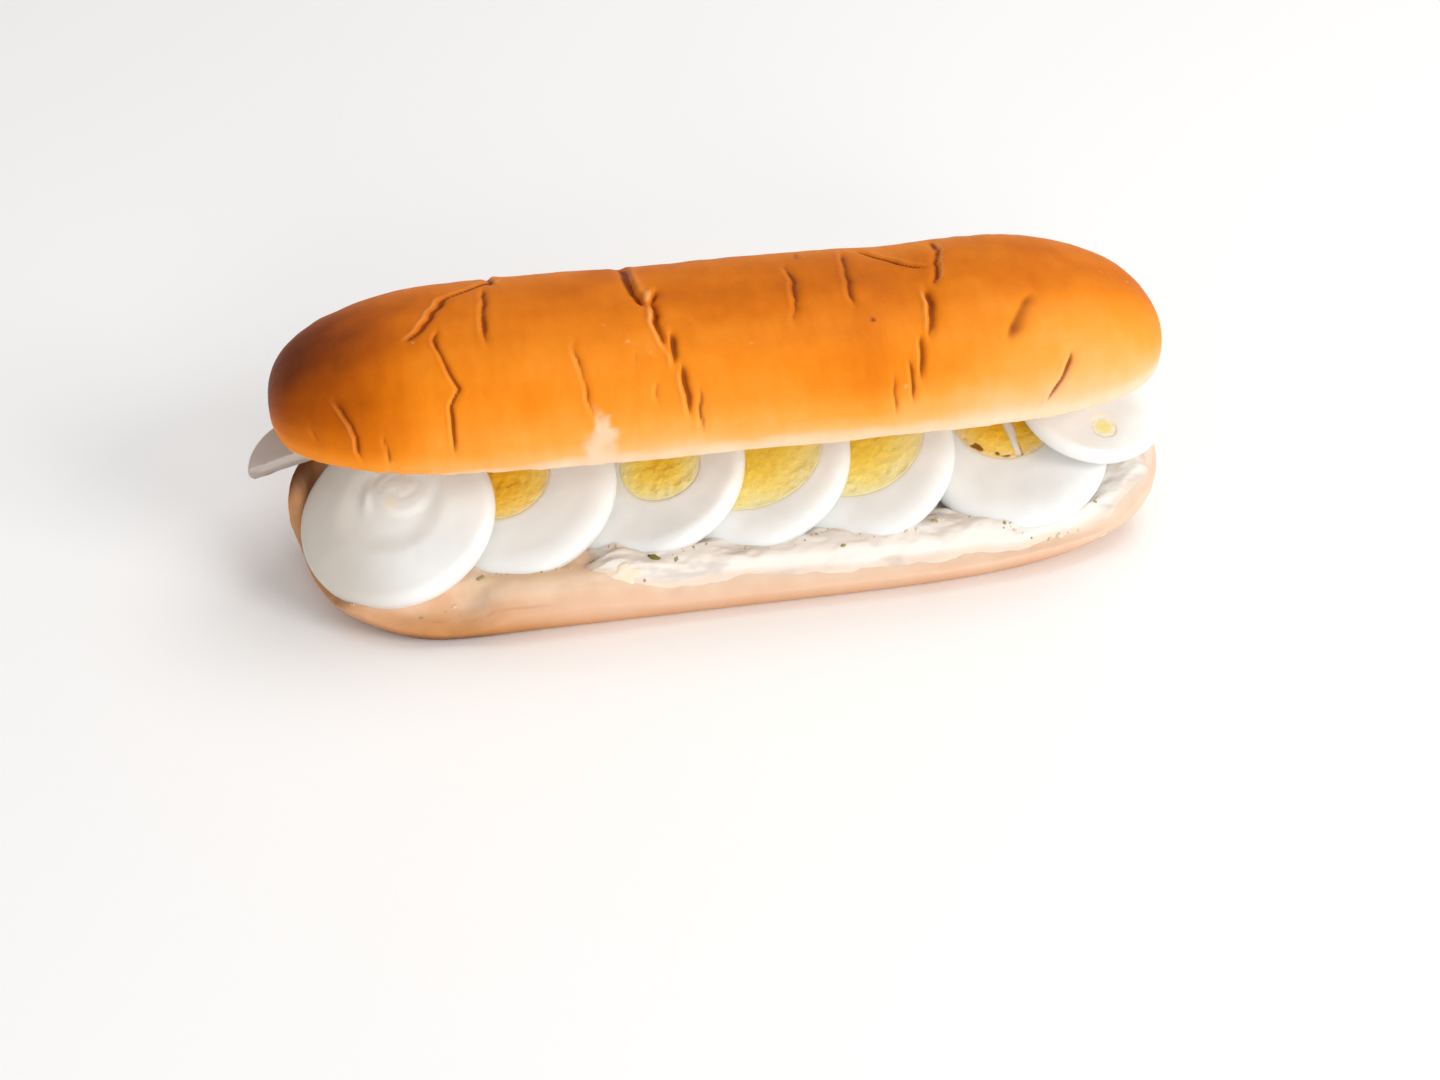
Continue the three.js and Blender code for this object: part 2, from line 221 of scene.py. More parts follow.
def mesh_normals(mesh: bpy.types.Mesh) -> np.ndarray:
    """A mesh's vertex normals.

    Args:
        mesh: The mesh.

    Returns:
        One row of three for each vertex.
    """
    normals = np.empty(len(mesh.vertices) * 3, np.float32)
    mesh.vertex_normals.foreach_get("vector", normals)
    return normals.reshape(-1, 3).astype(float)


def paint(mesh: bpy.types.Mesh, name: str, values: np.ndarray) -> None:
    """Stores one value for each vertex, for the materials to read.

    Args:
        mesh: The mesh.
        name: The attribute's name.
        values: One number for each vertex.
    """
    layer = mesh.attributes.new(name, "FLOAT", "POINT")
    layer.data.foreach_set("value", values.astype(np.float32))


def mesh_from(shape: bmesh.types.BMesh, name: str) -> bpy.types.Mesh:
    """Turns a bmesh into a mesh with its normals outward, and frees it.

    Args:
        shape: The bmesh.
        name: The mesh's name.

    Returns:
        The new mesh.
    """
    bmesh.ops.recalc_face_normals(shape, faces=shape.faces)
    mesh = bpy.data.meshes.new(name)
    shape.to_mesh(mesh)
    shape.free()
    return mesh


def object_from(mesh: bpy.types.Mesh, name: str) -> bpy.types.Object:
    """Puts a mesh in the scene as an object at the origin.

    Args:
        mesh: The mesh.
        name: The object's name.

    Returns:
        The new object.
    """
    piece = bpy.data.objects.new(name, mesh)
    bpy.context.scene.collection.objects.link(piece)
    return piece


def joined(base: bpy.types.Object, other: bpy.types.Object, how: Join) -> None:
    """Joins or cuts a solid by another, which is then removed.

    Args:
        base: The solid that stays.
        other: The solid that is joined to it or cut from it.
        how: Whether to add or to cut.
    """
    modifier = base.modifiers.new("join", "BOOLEAN")
    modifier.solver = "MANIFOLD"
    modifier.operation = how.value
    modifier.object = other
    depsgraph = bpy.context.evaluated_depsgraph_get()
    result = bpy.data.meshes.new_from_object(base.evaluated_get(depsgraph))
    base.modifiers.clear()
    base.data = result
    bpy.data.meshes.remove(other.data)


def finish_piece(
    piece: bpy.types.Object,
    material: bpy.types.Material,
    nodes: Sequence[str] = (),
) -> None:
    """Scales a piece from millimetres to metres, dresses it and hangs it on the body.

    Args:
        piece: The piece, in millimetres.
        material: Its material.
        nodes: The CAD nodes that it stands for.
    """
    mesh = piece.data
    move_points(mesh, mesh_points(mesh) * MM)
    mesh.polygons.foreach_set("use_smooth", [True] * len(mesh.polygons))
    mesh.materials.clear()
    mesh.materials.append(material)
    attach(piece, BODY)
    if nodes:
        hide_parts(*nodes)
    triangles = sum(len(face.vertices) - 2 for face in mesh.polygons)
    log.info("%s: %d triangles", piece.name, triangles)


@dataclass(frozen=True)
class EndShape:
    """How a half closes towards one end: the power along the roll and how round it is."""

    along: float
    round: float


@dataclass(frozen=True)
class Half:
    """An oval half of the roll before it is cut, with its ends bent to the front."""

    left: float
    right: float
    centre_y: float
    bow: float
    skew: float
    centre_z: float
    half_width: float
    rise_top: float
    rise_bottom: float
    square_top: float
    square_bottom: float
    end_left: EndShape
    end_right: EndShape
    least_taper: float = 0.02

    def share(self, x: np.ndarray) -> np.ndarray:
        """Place along the half from -1, its left end, to 1."""
        return x / np.where(x < 0, self.left, self.right)

    def taper(self, x: np.ndarray) -> np.ndarray:
        """Share of the full section that is left at a place along the roll.

        Args:
            x: Places along the roll in millimetres.

        Returns:
            The share from 0, at an end, to 1.
        """
        s = np.abs(self.share(x))
        power = np.where(x < 0, self.end_left.along, self.end_right.along)
        roundness = np.where(x < 0, self.end_left.round, self.end_right.round)
        return np.maximum(0, 1 - s**power) ** (1 / roundness)

    def middle(self, x: np.ndarray) -> np.ndarray:
        """Y of the section's centre at a place along the roll."""
        s = self.share(x)
        return self.centre_y + self.bow * s * s + self.skew * s

    def reach(self, angle: np.ndarray) -> np.ndarray:
        """Distance from the centre to the full section's edge, at an angle.

        Args:
            angle: Angles round the section in radians.

        Returns:
            Distances in millimetres.
        """
        up = np.sin(angle) >= 0
        square = np.where(up, self.square_top, self.square_bottom)
        across = np.abs(np.cos(angle)) / self.half_width
        height = np.abs(np.sin(angle)) / np.where(up, self.rise_top, self.rise_bottom)
        return (across**square + height**square) ** (-1 / square)

    def outside(self, points: np.ndarray) -> np.ndarray:
        """About how far points lie outside the half, less than 0 inside it.

        Args:
            points: Places in millimetres, three to a row.

        Returns:
            Distances in millimetres.
        """
        x, y, z = points[..., 0], points[..., 1], points[..., 2]
        taper = np.maximum(self.taper(np.clip(x, -self.left, self.right)), self.least_taper)
        dy, dz = y - self.middle(x), z - self.centre_z
        edge = self.reach(np.arctan2(dz, dy)) * taper
        return np.hypot(dy, dz) - edge


@dataclass(frozen=True)
class Bump:
    """A soft swell or hollow along the top of the crown."""

    x: float
    width: float
    rise: float


@dataclass(frozen=True)
class Crease:
    """A fold in the crust, through places along the roll at degrees round the section.

    A ridge stands on its right-hand side, or on its left where the ridge is negative.
    """

    line: Pairs
    width: float
    depth: float
    ridge: float = 0.0
    fade: float = 9.0
    kink: float = 0.3
    steep: float = 0.55
    gentle: float = 1.25
    power: float = 1.5
    ridge_away: float = 1.5
    ridge_width: float = 0.9

    def middle(self, degrees: np.ndarray) -> np.ndarray:
        """Place along the roll of the crease's bottom.

        Args:
            degrees: Degrees round the section.

        Returns:
            Places in millimetres.
        """
        angles = [pair[1] for pair in self.line]
        places = [pair[0] for pair in self.line]
        return np.interp(degrees, angles, places)

    def strength(self, degrees: np.ndarray) -> np.ndarray:
        """Share of the crease's depth that is left towards its ends.

        Args:
            degrees: Degrees round the section.

        Returns:
            The share from 0 to 1.
        """
        first, last = self.line[0][1], self.line[-1][1]
        fade = min(self.fade, 0.5 * (last - first))
        return step(first, first + fade, degrees) * step(last, last - fade, degrees)

    def groove(self, away: np.ndarray) -> np.ndarray:
        """The fold's profile, steep on the ridge's side, from 0 to 1 at its bottom.

        Args:
            away: Distance from the bottom along the roll.

        Returns:
            The share of its depth.
        """
        side = away if self.ridge > 0 else -away
        slope = np.where(side > 0, self.steep, self.gentle)
        return np.exp(-np.abs(side / slope / self.width) ** self.power)

    def shoulder(self, away: np.ndarray) -> np.ndarray:
        """The ridge's profile, from 0 to 1."""
        side = away if self.ridge > 0 else -away
        return bell(side - self.ridge_away * self.width, self.ridge_width * self.width)


@dataclass(frozen=True)
class Speck:
    """A dark speck on the crust, at a place along the roll and degrees round its section."""

    x: float
    degrees: float
    size: float
    shade: float
    per_degree: float

    def at(self, x: np.ndarray, degrees: np.ndarray) -> np.ndarray:
        """How dark the speck makes places on the crust."""
        away = np.hypot(x - self.x, self.per_degree * (degrees - self.degrees))
        return self.shade * bell(away, self.size)


@dataclass(frozen=True)
class EndRamp:
    """A part of the mouth's floor that slopes up to the rim at one end of the roll."""

    from_x: Rise
    from_y: Rise
    height: float
    slope: float
    front: float = -30

    def over(self, floor: np.ndarray, x: np.ndarray, y: np.ndarray) -> np.ndarray:
        """The floor with the slope laid over it, where that is higher.

        Args:
            floor: Heights of the floor in millimetres.
            x: Places along the roll.
            y: Places across it.

        Returns:
            Heights in millimetres.
        """
        share = self.from_x.at(x) * self.from_y.at(y)
        ramp = self.height + self.slope * (y - self.front)
        return np.maximum(floor, floor + (ramp - floor) * share)


@dataclass(frozen=True)
class RollForm:
    """Driving sizes of the roll, its creases and the mouth cut along its front."""

    crown: Half = Half(
        left=92,
        right=90,
        centre_y=1,
        bow=0.3,
        skew=0,
        centre_z=38.3,
        half_width=28,
        rise_top=17.4,
        rise_bottom=14,
        square_top=2.3,
        square_bottom=2.4,
        end_left=EndShape(4.8, 2.4),
        end_right=EndShape(6, 2.35),
    )
    heel: Half = Half(
        left=91.2,
        right=90,
        centre_y=-3.4,
        bow=-1.7,
        skew=1,
        centre_z=15,
        half_width=30.6,
        rise_top=21,
        rise_bottom=20,
        square_top=2.4,
        square_bottom=3.6,
        end_left=EndShape(4.9, 2.2),
        end_right=EndShape(3.4, 2.9),
    )
    back: Half = Half(
        left=86,
        right=85,
        centre_y=0,
        bow=-0.8,
        skew=0.6,
        centre_z=29,
        half_width=26.4,
        rise_top=12,
        rise_bottom=12,
        square_top=2.6,
        square_bottom=2.6,
        end_left=EndShape(5, 2.3),
        end_right=EndShape(5, 2.3),
    )
    swell: Bump = Bump(-66, 15, 2.2)
    lobes: tuple[Bump, ...] = (
        Bump(-64, 10, 0.6),
        Bump(-14, 19, -0.8),
        Bump(35, 7, -0.8),
        Bump(60, 15, 1.5),
    )
    creases: tuple[Crease, ...] = (
        Crease(
            ((-44, 40), (-50, 56), (-56, 70), (-59, 92), (-61, 107), (-65, 121)),
            0.74,
            1.1,
            -0.8,
        ),
        Crease(
            ((-58, 108), (-59, 119), (-57, 138), (-55, 150), (-57, 157), (-57, 180)),
            0.45,
            1.1,
            -0.6,
        ),
        Crease(((-48, 50), (-49, 110), (-49, 134)), 0.61, 1.0, -0.5, 22),
        Crease(((-47, 20), (-46, 60)), 0.66, 1.2, 1.4, 12),
        Crease(((-33, 124), (-32, 145), (-31, 161), (-29, 174)), 0.49, 0.7, -0.7, 14),
        Crease(((-79, 146), (-76, 162), (-75, 172), (-74, 184)), 0.49, 0.9, -0.8),
        Crease(((-70, 166), (-69, 184)), 0.45, 0.8, -0.7, 6),
        Crease(((-84, 160), (-82, 178)), 0.49, 0.5, -0.5, 8),
        Crease(((-19, 24), (-19, 64), (-18, 92), (-16, 108)), 0.9, 2.2, 0.7, 16),
        Crease(((-14, 76), (-16, 96), (-16, 128), (-14, 145)), 0.66, 1.8, -1.3, 12),
        Crease(((-13.4, 124), (-14, 138), (-14, 153)), 0.66, 1.5, -1.2, 12),
        Crease(((-12.6, 143), (-12.8, 156), (-12, 174)), 0.61, 1.3, -1.0, 12),
        Crease(((-10, 153), (-10, 181)), 0.57, 0.9, -0.6, 12),
        Crease(((-21, 134), (-21.6, 156)), 0.49, 0.5, -0.5, 10),
        Crease(((-18, 150), (-18, 167)), 0.49, 0.5, -0.5, 8),
        Crease(((28, 42), (33, 60), (37, 74), (42, 90)), 0.74, 1.4, 0.9, 12),
        Crease(((46, 40), (45, 64), (43, 80), (42, 100), (40, 112)), 0.57, 1.5, 1.0, 14),
        Crease(((38, 106), (38.6, 124), (37, 140), (36, 150)), 0.66, 1.7, -1.0, 12),
        Crease(((35.4, 138), (34, 150), (33, 168)), 0.57, 1.5, -0.9, 12),
        Crease(((31, 150), (31.6, 176)), 0.49, 0.9, -0.6, 10),
        Crease(((27.4, 156), (28.6, 181)), 0.49, 0.8, -0.5, 10),
        Crease(((65, 154), (63, 163), (61, 170), (58, 182)), 0.66, 1.3, -0.7, 10),
        Crease(((60, 120), (53, 144), (50, 158)), 2.13, 0.7, -0.2, 14),
        Crease(((13, 56), (13, 90), (12, 112), (10, 138)), 0.66, 0.9, -0.5, 22),
        Crease(((26, 44), (25, 66), (24, 84), (23, 128)), 0.66, 0.9, -0.5, 18),
        Crease(((17, 40), (16, 62)), 0.66, 0.8, 0.9, 10),
    )
    speck: Speck = Speck(26, 133, 0.7, 0.8, 0.45)
    slow_degrees: float = 8
    quick_degrees: float = 2.6
    quick_share: float = 0.35
    uneven_size: float = 0.7
    uneven_share: float = 0.15
    slow_seed: int = 40
    quick_seed: int = 90
    uneven_seed: int = 70
    ridge_height: float = 0.4
    # How pale the painted highlight on a ridge is, and the darkest painted shade at a crease's
    # bottom.
    ridge_highlight: float = 0.5
    deepest_shade: float = 1.1
    lip_height: Pairs = (
        (-92, 5.2),
        (-60, 5.4),
        (-49, 10.6),
        (-34, 10.8),
        (-16, 8),
        (20, 7.4),
        (55, 6.4),
        (92, 6.2),
    )
    lip_roll: Pairs = ((-46, -16), (-35, -5.4), (-32.8, -2), (-31, -0.5), (-28.6, 0))
    floor: Pairs = (
        (-25.4, 5.3),
        (-21, 4.2),
        (-16, 5),
        (-9, 7.2),
        (-2, 10.4),
        (5, 14.2),
        (11, 18),
        (15, 22),
        (18, 26.4),
        (21.5, 29.6),
    )
    left_ramp: EndRamp = EndRamp(Rise(-84.8, -88.4), Rise(-5, 1), 9, 0.4)
    right_ramp: EndRamp = EndRamp(Rise(60, 84), Rise(-26, -24), 8, 0.36)
    heap: Pairs = ((-29.5, 0), (-25, 5.0), (-20, 6.5), (-16, 6.0), (-10, 2.5), (-4, 0))
    heap_share: Pairs = ((-86, 0), (-72, 1), (-38, 1), (-18, 0.42), (58, 0.42), (76, 0.105))
    ceiling: Pairs = (
        (-46, 32.6),
        (-27, 34.6),
        (-22, 35.4),
        (-10, 34.8),
        (5, 33.6),
        (17, 32.6),
        (21.5, 29.6),
    )
    hinge_y: float = 21.5
    mouth_half_length: float = 110
    crease_x: tuple[float, ...] = (-75, -60, -56, -49, -31, -17, -13, 11, 24, 29, 35, 41, 61)

    def floor_height(self, x: np.ndarray, y: np.ndarray) -> np.ndarray:
        """Height of the mouth's floor.

        Args:
            x: Places along the roll.
            y: Places across it, of the same shape.

        Returns:
            Heights in millimetres.
        """
        lip = along(self.lip_height, x)
        height = np.interp(y, *zip(*self.floor))
        height = self.left_ramp.over(height, x, y)
        height = self.right_ramp.over(height, x, y)
        rolled = lip + np.interp(y, *zip(*self.lip_roll))
        front, back = self.lip_roll[-1][0], self.floor[0][0]
        share = np.clip((y - front) / (back - front), 0, 1)
        inside = np.where(y < back, np.interp(back, *zip(*self.floor)), height)
        heap = along(self.heap, y) * along(self.heap_share, x)
        return np.where(y <= front, rolled, rolled + (inside - rolled) * share) + heap

    def ceiling_height(self, y: np.ndarray) -> np.ndarray:
        """Height of the mouth's ceiling."""
        return np.interp(y, *zip(*self.ceiling))

    def crease_relief(self, x: np.ndarray, degrees: np.ndarray) -> tuple[np.ndarray, np.ndarray]:
        """Relief of the creases, and their painted shade and painted highlights.

        Args:
            x: Places along the roll.
            degrees: Degrees round the crown's section: 0 back, 90 top, 180 front.

        Returns:
            The relief in millimetres, and a tone from -1, a painted highlight on a ridge, to 1,
            painted shade at a bottom; the dark speck is added to it.
        """
        relief = np.zeros_like(x)
        shade = np.zeros_like(x)
        none = np.zeros_like(x)
        slow = np.stack([none, degrees / self.slow_degrees, none], axis=-1)
        quick = np.stack([none, degrees / self.quick_degrees, none], axis=-1)
        for number, crease in enumerate(self.creases):
            sway = grain(slow, 1, self.slow_seed + number)
            jitter = grain(quick, 1, self.quick_seed + number)
            away = x - crease.middle(degrees) - crease.kink * (sway + self.quick_share * jitter)
            uneven = grain(slow, self.uneven_size, self.uneven_seed + number)
            strength = crease.strength(degrees)
            strength *= 1 - self.uneven_share + self.uneven_share * uneven
            groove = crease.groove(away) * strength
            shoulder = crease.shoulder(away) * strength * abs(crease.ridge)
            relief += self.ridge_height * shoulder - crease.depth * groove
            # Painted shade at the crease's bottom and a painted highlight on its ridge.
            dark = np.clip(crease.depth, 0, self.deepest_shade)
            shade += dark * groove - self.ridge_highlight * shoulder
        shade += self.speck.at(x, degrees)
        return relief, np.clip(shade, -1, 1)

    def crown_relief(self, x: np.ndarray, angle: np.ndarray) -> np.ndarray:
        """Relief of the crown's crust, in millimetres.

        Args:
            x: Places along the roll in millimetres.
            angle: Angles round the section in radians.

        Returns:
            The relief of the creases and lobes.
        """
        total = self.crease_relief(x, np.degrees(angle))[0]
        for lobe in self.lobes:
            total += lobe.rise * bell(x - lobe.x, lobe.width) * np.maximum(0, np.sin(angle))
        return total

    def heel_relief(self, x: np.ndarray, angle: np.ndarray) -> np.ndarray:
        """Relief of the lower half: one swell of its front, in millimetres."""
        front = np.maximum(0, -np.cos(angle))
        return self.swell.rise * bell(x - self.swell.x, self.swell.width) * front


@dataclass(frozen=True)
class TanAndLight:
    """Baked tone, painted shade and painted light that are added at places along the roll and round
    the crown's section.
    """

    along_roll: Pairs
    round_section: Pairs

    def at(self, x: np.ndarray, degrees: np.ndarray) -> np.ndarray:
        """The baked tone, painted shade and painted light that are added at places on the crown."""
        return along(self.along_roll, x) * along(self.round_section, degrees)


@dataclass(frozen=True)
class BrowningAndLight:
    """How far the crust is baked, from 0, pale, to 1, dark, with painted shade and painted light
    laid into it.
    """

    round_section: Pairs = (
        (-40, 0.2),
        (-12, 0.28),
        (10, 0.42),
        (40, 0.58),
        (70, 0.63),
        (98, 0.63),
        (118, 0.6),
        (136, 0.55),
        (150, 0.52),
        (162, 0.49),
        (174, 0.44),
        (186, 0.3),
    )
    # The first darkens the crown's lower front towards the left end, partly real baking and partly
    # painted shade; the second pales the lower front from left of the middle onward; the last two
    # pale the right side, partly paler baking and partly painted light.
    tans_and_light: tuple[TanAndLight, ...] = (
        TanAndLight(((-90, 0.32), (-58, 0)), ((150, 1), (185, 0.55))),
        TanAndLight(((-66, 0), (-20, -0.14)), ((158, 0), (184, 1))),
        TanAndLight(((30, 0), (86, -0.06)), ((0, 1), (180, 1))),
        TanAndLight(((18, 0), (60, -0.08), (68, -0.08), (90, -0.04)), ((105, 0), (168, 1))),
    )
    patches: Grain = Grain(0.06, 24, 61, 2)
    specks: Grain = Grain(0.025, 6, 63, 2)
    lip_height: float = 34.6
    lip_edge: Grain = Grain(0.6, 5, 65, 2)
    lip_width: Pairs = ((-92, 0.3), (-60, 1.0), (-34, 2.8), (30, 3.4), (90, 4))
    lip_power: float = 0.7
    lip_share: float = 0.9
    # The lower half grows darker towards the left end, partly real baking and partly painted shade.
    # Painted shadow darkens its base where it rests, and painted shade darkens the left end's top
    # under the crown.
    heel: Pairs = ((-90, 0.66), (-78, 0.56), (-62, 0.56), (-26, 0.24), (-20, 0.24), (20, 0.16))
    base_shade_share: float = 0.36
    base_shade_below: Rise = Rise(6.5, 0)
    end_shade_share: float = 0.3
    end_shade_from: Rise = Rise(-80, -87)
    end_shade_above: Rise = Rise(14, 20)

    def at(self, points: np.ndarray, degrees: np.ndarray, upper: np.ndarray) -> np.ndarray:
        """The baked tone, with painted shade and painted light, at places on the roll.

        Args:
            points: Places on the roll in millimetres.
            degrees: Degrees round the crown's section.
            upper: 1 on the crown and 0 on the lower half.

        Returns:
            Baked tone with painted shade and painted light, from 0, pale, to 1, dark.
        """
        x, y, z = points.T
        patches = self.patches.at(points) + self.specks.at(points)
        crown = along(self.round_section, degrees) + patches
        for tan in self.tans_and_light:
            crown += tan.at(x, degrees)
        rise = z - self.lip_height + self.lip_edge.at(points)
        lip = np.clip(1 - rise / along(self.lip_width, x), 0, 1) ** self.lip_power * (y < 0)
        crown *= 1 - self.lip_share * lip
        # Painted shadow at the base and painted shade at the left end's top.
        low = along(self.heel, x) + self.base_shade_share * self.base_shade_below.at(z)
        low += self.end_shade_share * self.end_shade_from.at(x) * self.end_shade_above.at(z)
        return np.clip(crown * upper + (low + patches) * (1 - upper), 0, 1)


@dataclass(frozen=True)
class Cut:
    """Where the crumb shows: on the cut, and where a strip of crust is torn off above it."""

    edge: Grain = Grain(0.5, 3.2, 5, 2)
    upper: Rise = Rise(0.5, 2.2)
    lower: Rise = Rise(0.4, 4.6)
    above_base: Rise = Rise(1.5, 4)
    before_hinge: Rise = Rise(23, 21)
    skin_share: float = 0.85
    skin_from: Rise = Rise(-79, -86)
    torn_x: float = -29
    torn_width: float = 0.8
    torn_fan: float = 3.4
    torn_foot: Rise = Rise(164, 183)
    torn_top: Rise = Rise(154, 176)
    torn_edge: Grain = Grain(1.7, 3, 37, 3)
    torn_share: float = 0.75
    torn_rise: Rise = Rise(0.1, 0.95)
    stain_x: float = -62.5
    stain_y: float = -28.2
    stain_size: float = 4.5
    stain_stretch: float = 1.6
    stain_share: float = 0.7
    stain_edge: Grain = Grain(1, 2, 39, 2)
    # Painted shade along the fold at the cut's lower edge.
    seam_depth: float = 0.9
    seam_width: float = 0.4
    seam_share: float = 0.3
    seam_left: Rise = Rise(-72, -64)
    seam_right: Rise = Rise(-34, -46)
    seam_top: float = 14

    def crumb(
        self, points: np.ndarray, depth: np.ndarray, degrees: np.ndarray, crown: np.ndarray
    ) -> np.ndarray:
        """Share of bare crumb.

        Args:
            points: Places on the roll in millimetres.
            depth: How deep they lie inside the uncut roll.
            degrees: Degrees round the crown's section.
            crown: 1 on the crown and 0 on the lower half.

        Returns:
            The share from 0 to 1.
        """
        x, y, z = points.T
        heel = 1 - crown
        cut = depth + self.edge.at(points)
        crumb = (self.upper.at(cut) * crown + self.lower.at(cut) * heel) * self.above_base.at(z)
        crumb *= self.before_hinge.at(y)
        crumb *= 1 - self.skin_share * self.skin_from.at(x) * heel
        width = self.torn_width + self.torn_fan * self.torn_foot.at(degrees)
        torn = bell((x - self.torn_x + self.torn_edge.at(points)) / width, 1)
        torn *= self.torn_top.at(degrees) * crown
        crumb = np.maximum(crumb, self.torn_share * self.torn_rise.at(torn))
        away = np.hypot(x - self.stain_x, self.stain_stretch * (y - self.stain_y))
        stain = bell(away + self.stain_edge.at(points), self.stain_size)
        return crumb * (1 - self.stain_share * stain * heel)

    def seam(self, points: np.ndarray, depth: np.ndarray) -> np.ndarray:
        """Painted shade of the fold along the cut's lower edge.

        Args:
            points: Places on the lower half in millimetres.
            depth: How deep they lie inside the uncut roll.

        Returns:
            The painted shade from 0 to 1.
        """
        x, z = points[:, 0], points[:, 2]
        line = self.seam_share * bell(depth - self.seam_depth, self.seam_width)
        return line * self.seam_left.at(x) * self.seam_right.at(x) * (z < self.seam_top)


Relief = Callable[[np.ndarray, np.ndarray], np.ndarray]

@dataclass
class Roll:
    """The roll: two halves joined at the back, with the mouth cut out along the front."""

    form: RollForm = field(default_factory=RollForm)
    crown_rings: int = 450
    crown_around: int = 216
    heel_rings: int = 250
    heel_around: int = 120
    back_rings: int = 110
    back_around: int = 60
    mouth_rings: int = 250
    mouth_around: int = 130
    end_crowding: float = 0.86
    busy_weight: float = 1.6
    busy_width: float = 3.5
    base_soft: float = 0.8
    floor_turn: float = 0.62
    floor_path: Pairs = ((0, -46), (0.12, -36), (0.62, -18), (1, 21.5))
    blur: Pairs = ((-1, 0.25), (0, 0.5), (1, 0.25))
    cut_crumb: Grain = Grain(0.22, 3.1, 11, 3)
    weld: float = 0.02
    sharp_angle: float = math.radians(24)
    clear_base: float = 1
    soft_rows: int = 2
    soft_rounds: int = 3
    crown_from: Rise = Rise(26, 32)
    cut: Cut = Cut()
    browning_and_light: BrowningAndLight = BrowningAndLight()
    broad_lumps: Grain = Grain(0.18, 17, 21)
    small_lumps: Grain = Grain(0.07, 4.5, 23, 2)
    lumps_above: Rise = Rise(0.5, 6)
    wrinkles: Grain = Grain(0.06, 2.6, 25, 2)
    wrinkle_stretch: Point = (1, 0.22, 0.22)
    pores: Grain = Grain(0.12, 3.4, 31, 3)
    pore_stretch: Point = (0.5, 1, 1)
    smear: Pairs = ((-34, 0), (8, 0.45), (56, 0.45), (76, 0.9))
    name: str = "soft_roll"

    def half_object(
        self,
        half: Half,
        rings: int,
        around: int,
        relief: Relief | None = None,
        busy: Sequence[float] = (),
    ) -> bpy.types.Object:
        """One uncut half, as a sphere whose rings are moved to the oval's sections.

        Args:
            half: The half's sizes.
            rings: How many sections it has.
            around: How many points a section has.
            relief: Relief by place along the roll and angle round the section.
            busy: Places along the roll where the sections crowd together.

        Returns:
            The half as an object, in millimetres.
        """
        shape = bmesh.new()
        bmesh.ops.create_uvsphere(shape, u_segments=around, v_segments=rings, radius=1)
        mesh = mesh_from(shape, "half")
        ball = mesh_points(mesh)
        share = np.arcsin(np.clip(ball[:, 2], -1, 1)) / math.pi + 0.5
        turn = np.arctan2(ball[:, 1], ball[:, 0]) / FULL_TURN
        s = self.crowded(share, half, busy)
        x = np.where(s < 0, s * half.left, s * half.right)
        angle = self.even_angle(half, turn)
        reach = half.reach(angle)
        if relief is not None:
            reach = reach + relief(x, angle)
        reach = reach * half.taper(x)
        z = half.centre_z + reach * np.sin(angle)
        points = np.stack([x, half.middle(x) + reach * np.cos(angle), z], axis=-1)
        move_points(mesh, points)
        return object_from(mesh, "half")

    def crowded(self, share: np.ndarray, half: Half, busy: Sequence[float]) -> np.ndarray:
        """Places of the rings, closer together at the ends and at busy places.

        Args:
            share: Even places from 0 to 1.
            half: The half's sizes.
            busy: Places along the roll in millimetres.

        Returns:
            Places from -1 to 1.
        """
        even = np.linspace(0, 1, EVEN_STEPS)
        s = (2 * even - 1) * (1 - self.end_crowding) - np.cos(even * math.pi) * self.end_crowding
        weight = np.ones_like(even)
        for place in busy:
            weight += self.busy_weight * bell(s * half.left - place, self.busy_width)
        total = np.cumsum(weight)
        total = (total - total[0]) / (total[-1] - total[0])
        return np.interp(share, total, s)

    def even_angle(self, half: Half, turn: np.ndarray) -> np.ndarray:
        """Angles that space a section's points evenly along its edge.

        Args:
            half: The half's sizes.
            turn: Even places round the section, from -0.5 to 0.5.

        Returns:
            Angles from -90 to 270 degrees, in radians.
        """
        angle = np.linspace(-math.pi / 2, 1.5 * math.pi, EVEN_STEPS)
        reach = half.reach(angle)
        edge = np.stack([reach * np.cos(angle), reach * np.sin(angle)], axis=-1)
        length = np.concatenate([[0], np.cumsum(np.linalg.norm(np.diff(edge, axis=0), axis=1))])
        start = np.interp(0, angle, length) / length[-1]
        return np.interp((turn + start) % 1.0 * length[-1], length, angle)

    def crown_object(self) -> bpy.types.Object:
        """The upper half with its creases."""
        form = self.form
        return self.half_object(
            form.crown, self.crown_rings, self.crown_around, form.crown_relief, form.crease_x
        )

    def heel_object(self) -> bpy.types.Object:
        """The lower half, pressed flat where it rests.

        Returns:
            The half as an object, in millimetres.
        """
        form = self.form
        heel = self.half_object(form.heel, self.heel_rings, self.heel_around, form.heel_relief)
        points = mesh_points(heel.data)
        soft = self.base_soft
        near = np.abs(points[:, 2]) < soft
        flat = np.where(near, (points[:, 2] + soft) ** 2 / (4 * soft), np.maximum(points[:, 2], 0))
        points[:, 2] = flat
        move_points(heel.data, points)
        return heel

